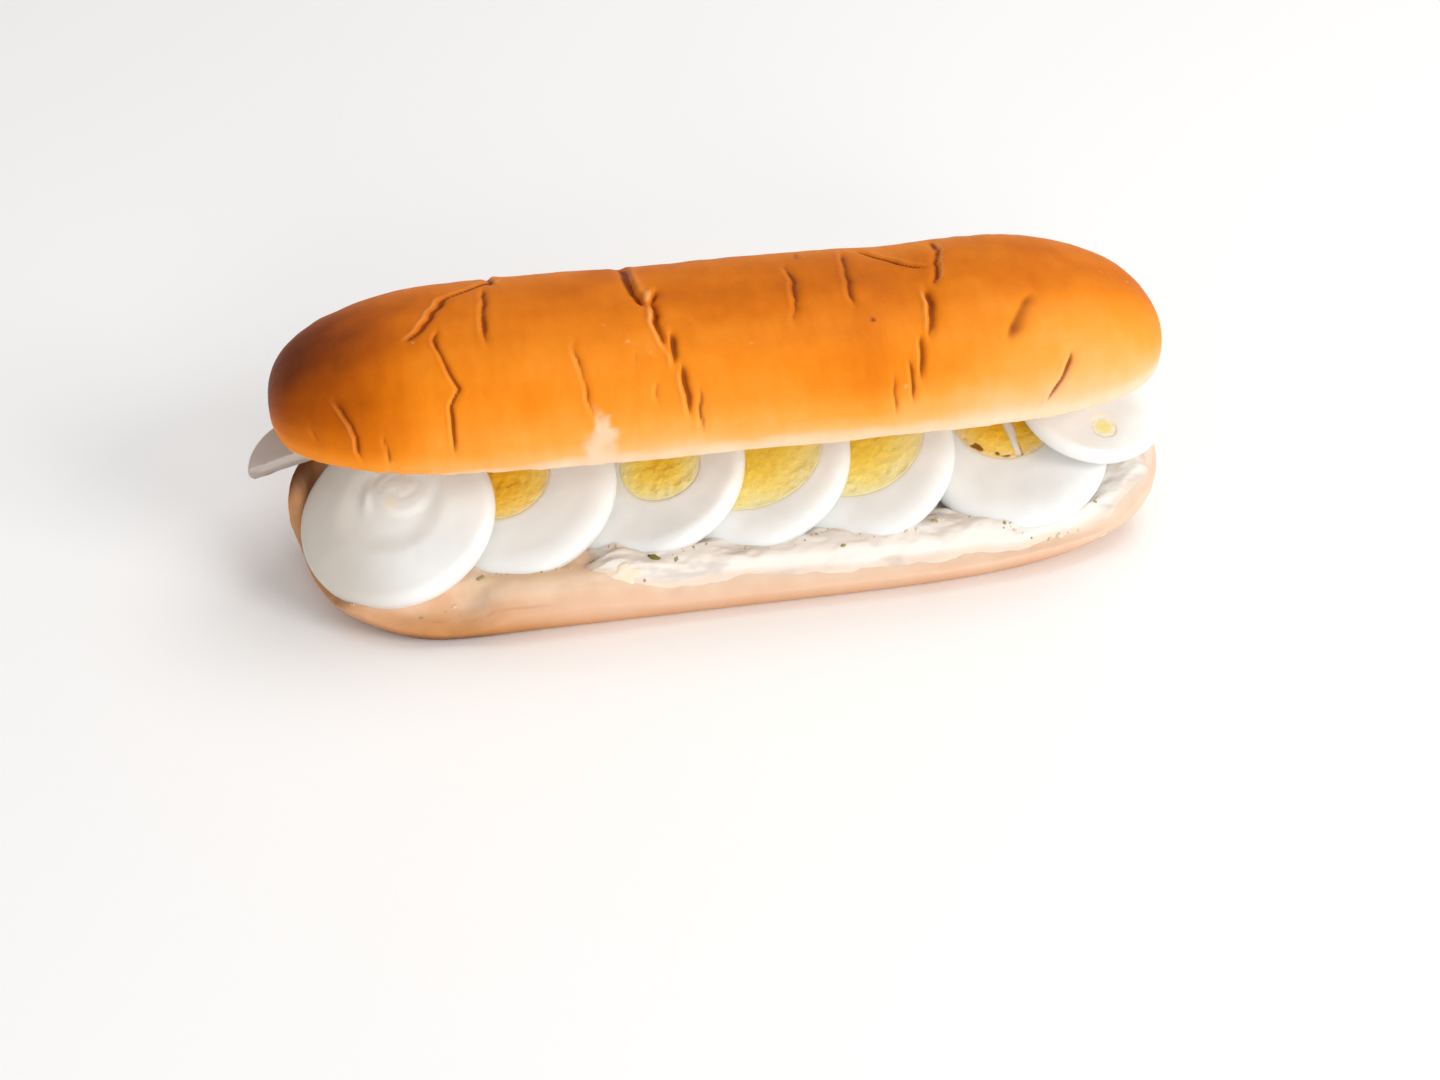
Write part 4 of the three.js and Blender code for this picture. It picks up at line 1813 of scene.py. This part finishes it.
@dataclass
class Bits:
    """Flecks and crumbs on the floor and along the slices' lower edges."""

    flecks: tuple[Bit, ...] = (
        Bit(-19.7, -26.3, 1.5, 0.8, -35, BitKind.GREEN),
        Bit(-54.4, -25.6, 0.9, 0.5, 20, BitKind.OLIVE),
        Bit(-34.4, -22.5, 1.1, 0.55, -25, BitKind.OLIVE),
        Bit(-32, -24.1, 0.8, 0.45, 30, BitKind.OLIVE),
        Bit(-15.6, -27.4, 0.7, 0.4, 60, BitKind.OLIVE),
        Bit(-22.4, -30.4, 0.35, 0.35, 0, BitKind.TAN),
        Bit(18.3, -28.2, 0.6, 0.4, 10, BitKind.OLIVE),
        Bit(38.3, -24.1, 0.7, 0.4, -20, BitKind.TAN),
        Bit(81.2, -8.6, 1.2, 0.4, 5, BitKind.TAN),
        Bit(80.6, -11.2, 1.3, 0.45, -8, BitKind.OLIVE),
        Bit(-26.6, -29.3, 3.6, 2.2, 8, BitKind.CREAM, 0.22),
    )
    under: tuple[str, ...] = ("soft_roll", "white_spread")
    around: int = 24
    arc: tuple[float, float] = (-128, -38)
    middle: float = 0.6
    spread: float = 1.2
    reach: float = 0.5
    under_face: float = -3.0
    least: float = 0.16
    pale_growth: float = 0.6
    dark_growth: float = 0.3
    pale_until: float = 0.4
    least_width: float = 0.5
    crumb_rise: float = 0.8
    wobble: float = 0.3
    wobble_x: float = 5.1
    wobble_y: float = 4.3
    broad: float = 2
    high: float = 19.0
    seed: int = 8

    def edge_bits(self, places: Sequence[tuple[Place, float]]) -> list[Bit]:
        """Crumbs along the lower edges of slices.

        Args:
            places: Each slice's place and radius.

        Returns:
            The crumbs.
        """
        chance = random.Random(self.seed)
        kinds = [BitKind.CREAM, BitKind.BREAD, BitKind.BREAD, BitKind.TAN, BitKind.OLIVE]
        bits = []
        for place, radius in places:
            matrix = place.matrix()
            for _ in range(self.around):
                angle = math.radians(chance.uniform(*self.arc))
                away = radius + chance.gauss(self.middle, self.spread) * self.reach
                flat = Vector((away * math.cos(angle), away * math.sin(angle), self.under_face))
                spot = matrix @ flat
                kind = chance.choice(kinds)
                growth = self.pale_growth if kind.value < self.pale_until else self.dark_growth
                size = self.least + chance.random() ** 2 * growth
                wide = size * chance.uniform(self.least_width, 1)
                turn = chance.uniform(0, 180)
                bits.append(Bit(spot.x, spot.y, size, wide, turn, kind, self.crumb_rise))
        return bits

    def build(self, material: bpy.types.Material, places: Sequence[tuple[Place, float]]) -> None:
        """Lays every bit on what is under it, as one piece.

        Args:
            material: Material of the bits.
            places: Each slice's place and radius.
        """
        bpy.context.view_layer.update()
        depsgraph = bpy.context.evaluated_depsgraph_get()
        shape = bmesh.new()
        kind_layer = shape.verts.layers.float.new("kind")
        for number, bit in enumerate([*self.flecks, *self.edge_bits(places)]):
            start = Vector((bit.x, bit.y, self.high)) * MM
            hit = bpy.context.scene.ray_cast(depsgraph, start, Vector((0, 0, -1)))
            found, spot, normal, _, under, _ = hit
            if not found or under.name not in self.under:
                continue
            fine = 4 if bit.length > self.broad else 2
            ball = bmesh.ops.create_icosphere(shape, subdivisions=fine, radius=1)["verts"]
            tilt = Vector((0, 0, 1)).rotation_difference(normal).to_matrix().to_4x4()
            turn = tilt @ Matrix.Rotation(math.radians(bit.turn), 4, "Z")
            height = bit.rise * bit.width
            for vert in ball:
                wave = math.sin(self.wobble_x * vert.co.x + number)
                swell = 1 + self.wobble * wave * math.cos(self.wobble_y * vert.co.y)
                local = Vector((vert.co.x * bit.length, vert.co.y * bit.width, vert.co.z * height))
                vert.co = spot / MM + turn @ (local * swell)
                vert[kind_layer] = bit.kind.value
        finish_piece(object_from(mesh_from(shape, "bits"), "crumbs"), material)


class Wire:
    """A shader value, for use in Python sums."""

    def __init__(self, shader: "Shader", socket: bpy.types.NodeSocket) -> None:
        """Wraps a socket.

        Args:
            shader: The shader that it belongs to.
            socket: The output that gives the value.
        """
        self.shader = shader
        self.socket = socket

    def sum(self, operation: str, first: "Value", second: "Value") -> "Wire":
        """Adds one Math node.

        Args:
            operation: The node's operation.
            first: Its first value.
            second: Its second value.

        Returns:
            The node's result.
        """
        node = self.shader.node("ShaderNodeMath", {"operation": operation}, {0: first, 1: second})
        return Wire(self.shader, node.outputs[0])

    def __add__(self, other: "Value") -> "Wire":
        """This plus other."""
        return self.sum("ADD", self, other)

    def __radd__(self, other: "Value") -> "Wire":
        """Other plus this."""
        return self.sum("ADD", other, self)

    def __sub__(self, other: "Value") -> "Wire":
        """This less other."""
        return self.sum("SUBTRACT", self, other)

    def __rsub__(self, other: "Value") -> "Wire":
        """Other less this."""
        return self.sum("SUBTRACT", other, self)

    def __mul__(self, other: "Value") -> "Wire":
        """This times other."""
        return self.sum("MULTIPLY", self, other)

    def __rmul__(self, other: "Value") -> "Wire":
        """Other times this."""
        return self.sum("MULTIPLY", other, self)

    def rise(self, low: float, high: float) -> "Wire":
        """Smooth rise from 0 where this is low to 1 where it is high.

        Args:
            low: Value at which the rise starts.
            high: Value at which it ends; it may be below low.

        Returns:
            The share from 0 to 1.
        """
        settings = {"interpolation_type": "SMOOTHSTEP", "clamp": True}
        inputs = {"Value": self, "From Min": low, "From Max": high}
        node = self.shader.node("ShaderNodeMapRange", settings, inputs)
        return Wire(self.shader, node.outputs["Result"])


Value = float | Wire
Colour = tuple[float, float, float, float]


def tone(code: str) -> Colour:
    """Linear colour from a code of six hex digits.

    Args:
        code: Two hex digits each for red, green and blue.

    Returns:
        The colour with its alpha.
    """
    parts = [int(code[place : place + 2], 16) / 255 for place in (0, 2, 4)]
    red, green, blue = Color(parts).from_srgb_to_scene_linear()
    return (red, green, blue, 1.0)


class Shader:
    """The nodes of one material."""

    def __init__(self, name: str) -> None:
        """Starts a material with a Principled shader.

        Args:
            name: The material's name.
        """
        self.material = bpy.data.materials.new(name)
        self.material.use_nodes = True
        self.tree = self.material.node_tree
        self.surface = self.tree.nodes["Principled BSDF"]

    def node(
        self,
        kind: str,
        settings: dict[str, object] | None = None,
        inputs: dict[str | int, object] | None = None,
    ) -> bpy.types.Node:
        """Adds a node.

        Args:
            kind: The node's type.
            settings: Its properties, or a ramp's stops, which are set first.
            inputs: Values or links of its sockets.

        Returns:
            The node.
        """
        node = self.tree.nodes.new(kind)
        for key, value in (settings or {}).items():
            if key == "stops":
                self.set_stops(node, value)
            else:
                setattr(node, key, value)
        for key, value in (inputs or {}).items():
            self.feed(node.inputs[key], value)
        return node

    def set_stops(self, node: bpy.types.Node, stops: Sequence[tuple[float, Colour]]) -> None:
        """Sets a ramp's stops.

        Args:
            node: The ramp.
            stops: Places from 0 to 1 with their colours.
        """
        elements = node.color_ramp.elements
        while len(elements) < len(stops):
            elements.new(1.0)
        for element, (place, colour) in zip(elements, stops):
            element.position = place
            element.color = colour

    def feed(self, socket: bpy.types.NodeSocket, value: object) -> None:
        """Sets a socket, or links it where the value is a wire."""
        if isinstance(value, Wire):
            self.tree.links.new(value.socket, socket)
        else:
            socket.default_value = value

    def stored(self, name: str) -> Wire:
        """A value stored on the mesh's vertices."""
        settings = {"attribute_type": "GEOMETRY", "attribute_name": name}
        return Wire(self, self.node("ShaderNodeAttribute", settings).outputs["Fac"])

    def noise(self, size: float, detail: float = 3, stretch: Point = (1, 1, 1)) -> Wire:
        """Noise on the object's own coordinates.

        Args:
            size: Size of its lumps in millimetres.
            detail: How many finer layers it has.
            stretch: How much the coordinates are stretched along each axis.

        Returns:
            Values from 0 to 1.
        """
        where = self.node("ShaderNodeTexCoord").outputs["Object"]
        mapped = self.node("ShaderNodeMapping", {}, {"Vector": Wire(self, where), "Scale": stretch})
        inputs = {"Vector": Wire(self, mapped.outputs[0]), "Scale": 1 / (size * MM)}
        inputs["Detail"] = detail
        return Wire(self, self.node("ShaderNodeTexNoise", {}, inputs).outputs["Fac"])

    def cells(self, size: float) -> Wire:
        """Distance to the nearest of many scattered points, as a share of their spacing.

        Args:
            size: Spacing of the points in millimetres.

        Returns:
            The distance from 0 to about 1.
        """
        where = self.node("ShaderNodeTexCoord").outputs["Object"]
        inputs = {"Vector": Wire(self, where), "Scale": 1 / (size * MM)}
        return Wire(self, self.node("ShaderNodeTexVoronoi", {}, inputs).outputs["Distance"])

    def ramp(self, value: Wire, stops: Sequence[tuple[float, str]]) -> Wire:
        """Colour read from a value along a ramp of colour codes.

        Args:
            value: Place on the ramp.
            stops: Places from 0 to 1 with their colour codes.

        Returns:
            The colour.
        """
        colours = [(place, tone(code)) for place, code in stops]
        node = self.node("ShaderNodeValToRGB", {"stops": colours}, {"Fac": value})
        return Wire(self, node.outputs["Color"])

    def blend(self, share: Value, under: object, over: object) -> Wire:
        """Mixes two colours.

        Args:
            share: Share of the second colour.
            under: The first colour.
            over: The second colour.

        Returns:
            The mixed colour.
        """
        settings = {"data_type": "RGBA", "clamp_factor": True}
        node = self.node("ShaderNodeMix", settings, {0: share, 6: under, 7: over})
        return Wire(self, node.outputs[2])

    def relief(self, height: Wire, depth: float, strength: float = 1.0) -> Wire:
        """Bump from a height.

        Args:
            height: The height, from 0 to 1.
            depth: Height of the relief in millimetres.
            strength: Share of the relief.

        Returns:
            The bent normal.
        """
        inputs = {"Height": height, "Distance": depth * MM, "Strength": strength}
        return Wire(self, self.node("ShaderNodeBump", {}, inputs).outputs["Normal"])

    def dress(self, **inputs: object) -> bpy.types.Material:
        """Feeds the Principled shader's sockets, named with underscores for spaces."""
        for key, value in inputs.items():
            self.feed(self.surface.inputs[key.replace("_", " ")], value)
        return self.material


@dataclass(frozen=True)
class CrustFinish:
    """Soft golden crust that fades to pale at the sides, with painted shade in its creases and
    painted highlights on their ridges, and the crumb of the cut.
    """

    stops: tuple[tuple[float, str], ...] = (
        (0.0, "f2d2b4"),
        (0.12, "f5c193"),
        (0.25, "f7ad62"),
        (0.38, "f69935"),
        (0.5, "eb8516"),
        (0.62, "d46e06"),
        (0.75, "b05303"),
        (0.88, "823802"),
        (1.0, "572102"),
    )
    # The heel's darker stops carry painted shade at the left end and the base as well as real
    # baking.
    heel_stops: tuple[tuple[float, str], ...] = (
        (0.0, "ecd0b9"),
        (0.3, "deb698"),
        (0.6, "d29c70"),
        (0.8, "be8450"),
        (1.0, "6b4020"),
    )
    crumb_pale: str = "edd2b8"
    crumb_deep: str = "e8c9aa"
    smeared: str = "f3e6d8"
    # Painted shade in the creases' bottoms, also used for the dark speck, and a painted highlight
    # on the ridges.
    crease_shade_and_speck: str = "742c03"
    shade_and_speck_share: float = 0.85
    ridge_highlight_tone: str = "ffc47a"
    ridge_share: float = 0.4
    spot_pale: str = "ffd9a0"
    spot_share: float = 0.25

    def material(self) -> bpy.types.Material:
        """The finish as a material.

        Returns:
            The material, with its nodes.
        """
        shader = Shader("soft_crust")
        mottle = shader.noise(11, 4) - 0.5
        streaks = shader.noise(2.4, 3, (1, 0.25, 0.25)) - 0.5
        fine = shader.noise(1.1, 3) - 0.5
        # The stored value holds painted shade and painted light as well as the baked tone.
        bake_and_light = shader.stored("bake_and_light") + mottle * 0.12 + streaks * 0.06 + fine * 0.03
        top = shader.ramp(bake_and_light, self.stops)
        low = shader.ramp(bake_and_light, self.heel_stops)
        crust = shader.blend(shader.stored("heel"), top, low)
        # Painted shade darkens the creases' bottoms and the speck; a painted highlight pales the
        # ridges.
        crease = shader.stored("crease")
        painted_shade_and_specks = crease.rise(0.1, 0.75) * self.shade_and_speck_share
        crust = shader.blend(painted_shade_and_specks, crust, tone(self.crease_shade_and_speck))
        ridge_highlights = crease.rise(-0.05, -0.6) * self.ridge_share
        crust = shader.blend(ridge_highlights, crust, tone(self.ridge_highlight_tone))
        spots = shader.cells(5.5).rise(0.12, 0.05) * shader.noise(14, 2).rise(0.55, 0.65)
        crust = shader.blend(spots * self.spot_share, crust, tone(self.spot_pale))
        pores = shader.noise(1.6, 5)
        smears = shader.noise(7, 3, (0.3, 1, 1))
        crumb = shader.blend(smears.rise(0.35, 0.65), tone(self.crumb_deep), tone(self.crumb_pale))
        crumb = shader.blend(shader.stored("smear"), crumb, tone(self.smeared))
        cut = shader.stored("crumb")
        colour = shader.blend(cut, crust, crumb)
        height = fine * 0.3 + shader.noise(0.5, 2) * 0.1 + cut * pores * 0.6 + streaks * 0.7
        return shader.dress(
            Base_Color=colour,
            Roughness=0.5 + cut * 0.4 + fine * 0.1,
            Normal=shader.relief(height, 0.3, 0.4),
            Subsurface_Weight=0.06,
            Subsurface_Radius=(1.0, 0.5, 0.25),
            Subsurface_Scale=1.5 * MM,
            Specular_IOR_Level=0.08,
        )


@dataclass(frozen=True)
class WhiteFinish:
    """Moist boiled egg white, greyer where painted shade is stored."""

    pale: str = "f1f2f0"
    grey: str = "e4e5e4"
    cream: str = "f8eed8"
    # Tone of the painted shade.
    painted_shade: str = "d6cfc5"

    def material(self) -> bpy.types.Material:
        """The finish as a material.

        Returns:
            The material, with its nodes.
        """
        shader = Shader("boiled_white")
        cloud = shader.noise(13, 2)
        colour = shader.blend(cloud.rise(0.4, 0.7) * 0.6, tone(self.pale), tone(self.grey))
        inner = shader.stored("rim").rise(0.16, 0.0)
        colour = shader.blend(inner * 0.6, colour, tone(self.cream))
        # Painted shade from the stored share.
        colour = shader.blend(shader.stored("painted_shade"), colour, tone(self.painted_shade))
        height = shader.noise(3.2, 2) * 0.5 + shader.noise(0.9, 2) * 0.2
        return shader.dress(
            Base_Color=colour,
            Roughness=0.34 + cloud * 0.15,
            Normal=shader.relief(height, 0.25, 0.3),
            Subsurface_Weight=0.35,
            Subsurface_Radius=(1.0, 0.85, 0.7),
            Subsurface_Scale=2.5 * MM,
            Specular_IOR_Level=0.35,
        )


@dataclass(frozen=True)
class YolkFinish:
    """Dry, crumbly boiled yolk, paler and greener at its rim, with painted shade in its pits and
    painted shadow in its crevices.
    """

    tones: YolkTone = YolkTone.YELLOW
    # Tone of the painted shade in the pits, and of the painted shadow in the crevices.
    deep: str = "c98a14"
    pit_shade_share: float = 0.16
    crevice_shadow: str = "8a5a1c"

    def material(self) -> bpy.types.Material:
        """The finish as a material.

        Returns:
            The material, with its nodes.
        """
        shader = Shader("boiled_yolk_" + self.tones.name.lower())
        specks = shader.noise(0.9, 4)
        rim = shader.stored("rim") + (specks - 0.5) * 0.35 + (shader.noise(6, 2) - 0.5) * 0.4
        colour = shader.ramp(rim, self.tones.value)
        # Painted shade in the pits, then painted shadow in the crevices.
        painted_pit_shade = shader.stored("painted_pit_shade")
        colour = shader.blend(painted_pit_shade * self.pit_shade_share, colour, tone(self.deep))
        colour = shader.blend(painted_pit_shade.rise(1.1, 1.8), colour, tone(self.crevice_shadow))
        height = specks + shader.noise(0.5, 2) * 0.4
        return shader.dress(
            Base_Color=colour,
            Roughness=0.62 + specks * 0.2,
            Normal=shader.relief(height, 0.4, 0.5),
            Subsurface_Weight=0.15,
            Subsurface_Radius=(1.0, 0.7, 0.2),
            Subsurface_Scale=1.5 * MM,
            Specular_IOR_Level=0.25,
        )


@dataclass(frozen=True)
class SpreadFinish:
    """White creamy spread, smeared thin over the crumb."""

    pale: str = "efe8e0"
    warm: str = "ead6c4"
    streak: str = "cfc4ba"
    streak_share: float = 0.75

    def material(self) -> bpy.types.Material:
        """The finish as a material.

        Returns:
            The material, with its nodes.
        """
        shader = Shader("creamy_spread")
        smear = shader.noise(5, 4, (0.4, 1, 1))
        cover = shader.stored("thick") + (smear - 0.5) * 0.9
        colour = shader.blend(cover.rise(0.15, 0.75), tone(self.warm), tone(self.pale))
        streaks = shader.noise(3.4, 3, (0.3, 1, 1))
        grey = streaks.rise(0.5, 0.7) * self.streak_share
        colour = shader.blend(grey, colour, tone(self.streak))
        height = shader.noise(1.2, 3) * 0.4 + smear
        return shader.dress(
            Base_Color=colour,
            Roughness=0.42 + smear * 0.25,
            Normal=shader.relief(height, 0.4, 0.45),
            Subsurface_Weight=0.2,
            Subsurface_Radius=(1.0, 0.8, 0.6),
            Subsurface_Scale=1.5 * MM,
            Specular_IOR_Level=0.3,
        )


@dataclass(frozen=True)
class BitsFinish:
    """Cream, bread crumbs and herb flecks, by the kind stored on each bit."""

    stops: tuple[tuple[float, str], ...] = (
        (0.0, "efe0c8"),
        (0.25, "e6c8a2"),
        (0.5, "c09a6c"),
        (0.75, "a89c70"),
        (1.0, "7c7a38"),
    )

    def material(self) -> bpy.types.Material:
        """The finish as a material.

        Returns:
            The material, with its nodes.
        """
        shader = Shader("crumbs_and_herbs")
        kind = shader.stored("kind") + (shader.noise(0.8, 2) - 0.5) * 0.12
        return shader.dress(
            Base_Color=shader.ramp(kind, self.stops),
            Roughness=0.6 + shader.noise(2, 2) * 0.1,
            Normal=shader.relief(shader.noise(0.4, 2), 0.1, 0.5),
            Specular_IOR_Level=0.2,
        )


@dataclass(frozen=True)
class FloorFinish:
    """Plain pale floor."""

    colour: str = "fdfcfb"
    shade: str = "f8f7f6"
    cloud_size: float = 400

    def material(self) -> bpy.types.Material:
        """The finish as a material.

        Returns:
            The material, with its nodes.
        """
        shader = Shader("pale_floor")
        cloud = shader.noise(self.cloud_size, 2)
        colour = shader.blend(cloud * 0.2, tone(self.colour), tone(self.shade))
        return shader.dress(Base_Color=colour, Roughness=0.8, Specular_IOR_Level=0.2)


@dataclass(frozen=True)
class Lamp:
    """A soft square lamp that looks at the sandwich."""

    name: str
    place: Point
    size: float
    power: float
    colour: tuple[float, float, float] = (1, 1, 1)
    target: Point = (0, 0, 0.03)

    def build(self) -> None:
        """Adds the lamp to the scene; its place and size are in metres."""
        data = bpy.data.lights.new(self.name, "AREA")
        data.size = self.size
        data.energy = self.power
        data.color = self.colour
        lamp = bpy.data.objects.new(self.name, data)
        lamp.location = self.place
        aim = Vector(self.target) - lamp.location
        lamp.rotation_euler = aim.to_track_quat("-Z", "Y").to_euler()
        bpy.context.scene.collection.objects.link(lamp)


@dataclass(frozen=True)
class Studio:
    """Camera, pale floor and soft lamps."""

    camera_place: Point = (-0.0625, -0.3435, 0.248)
    pitch: float = 36
    yaw: float = 10
    lens: float = 50
    sensor: float = 36
    nearest: float = 0.01
    floor_half: float = 6
    lamps: tuple[Lamp, ...] = (
        Lamp("key", (0.95, -0.85, 0.75), 0.6, 8.8, (1, 0.99, 0.975)),
        Lamp("front", (0.1, -1.2, 0.3), 0.5, 5.0, (1, 0.995, 0.99)),
        Lamp("top", (0.45, 0.3, 1.15), 0.8, 5.5),
    )
    sky: float = 0.47

    def build(self) -> None:
        """Sets up the camera, the floor and the light."""
        scene = bpy.context.scene
        data = bpy.data.cameras.new("camera")
        data.lens = self.lens
        data.sensor_width = self.sensor
        data.clip_start = self.nearest
        camera = bpy.data.objects.new("camera", data)
        camera.location = self.camera_place
        camera.rotation_euler = (math.radians(90 - self.pitch), 0, -math.radians(self.yaw))
        scene.collection.objects.link(camera)
        scene.camera = camera
        scene.view_settings.view_transform = "Standard"
        shape = bmesh.new()
        bmesh.ops.create_grid(shape, x_segments=1, y_segments=1, size=self.floor_half)
        floor = object_from(mesh_from(shape, "floor"), "studio_floor")
        floor.data.materials.append(FloorFinish().material())
        world = bpy.data.worlds.new("soft_sky")
        world.use_nodes = True
        background = world.node_tree.nodes["Background"]
        background.inputs["Color"].default_value = (1, 1, 1, 1)
        background.inputs["Strength"].default_value = self.sky
        scene.world = world
        for lamp in self.lamps:
            lamp.build()


def egg_row() -> list[EggSlice]:
    """The slices that show yolk, from left to right.

    Returns:
        The slices, each with its place, sizes and yolk colour.
    """
    golden, yellow, faint = YolkTone.GOLDEN, YolkTone.YELLOW, YolkTone.FAINT
    return [
        EggSlice("2", Place((-45.8, -8.4, 20.2)), 20.7, 9.9, (-2.3, 2.6), golden),
        EggSlice("3", Place((-19.9, -5.9, 21.4)), 21.8, 8.3, (4.1, -2.1), yellow),
        EggSlice("4", Place((1.9, -6.8, 21.0)), 21.6, 15.5, (0.9, 2.1), yellow),
        EggSlice("5", Place((24.4, -8.5, 20.2)), 20.9, 15.0, (0.4, 4.2), yellow),
        EggSlice(
            "6", Place((58.2, -9.6, 19.4), 22, 5.5), 20.2, 10.8, (-0.5, 6.7), golden, split=-0.2
        ),
        EggSlice(
            "7", Place((75.7, -6.6, 26.9), 18, -5), 16.0, 2.4, (0.2, -8.8), faint, thickness=3.6
        ),
    ]


def main() -> None:
    """Builds the sandwich and its studio."""
    logging.basicConfig(level=logging.INFO, format="%(message)s")
    Studio().build()
    Roll().build(CrustFinish().material())
    white = WhiteFinish().material()
    yolks = {tones: YolkFinish(tones).material() for tones in YolkTone}
    EggCap().build(white)
    row = egg_row()
    for egg in row:
        egg.build(white, yolks[egg.tones])
    # A darker copy of the white's finish: painted shade for the piece that lies in shade.
    WhitePiece().build(WhiteFinish("cdc3bc", "c3b8b1", painted_shade="b9aca4").material())
    Spread().build(SpreadFinish().material())
    places = [(EggCap().place, EggCap().radius)] + [(egg.place, egg.radius) for egg in row[:5]]
    Bits().build(BitsFinish().material(), places)


if __name__ == "__main__":
    main()
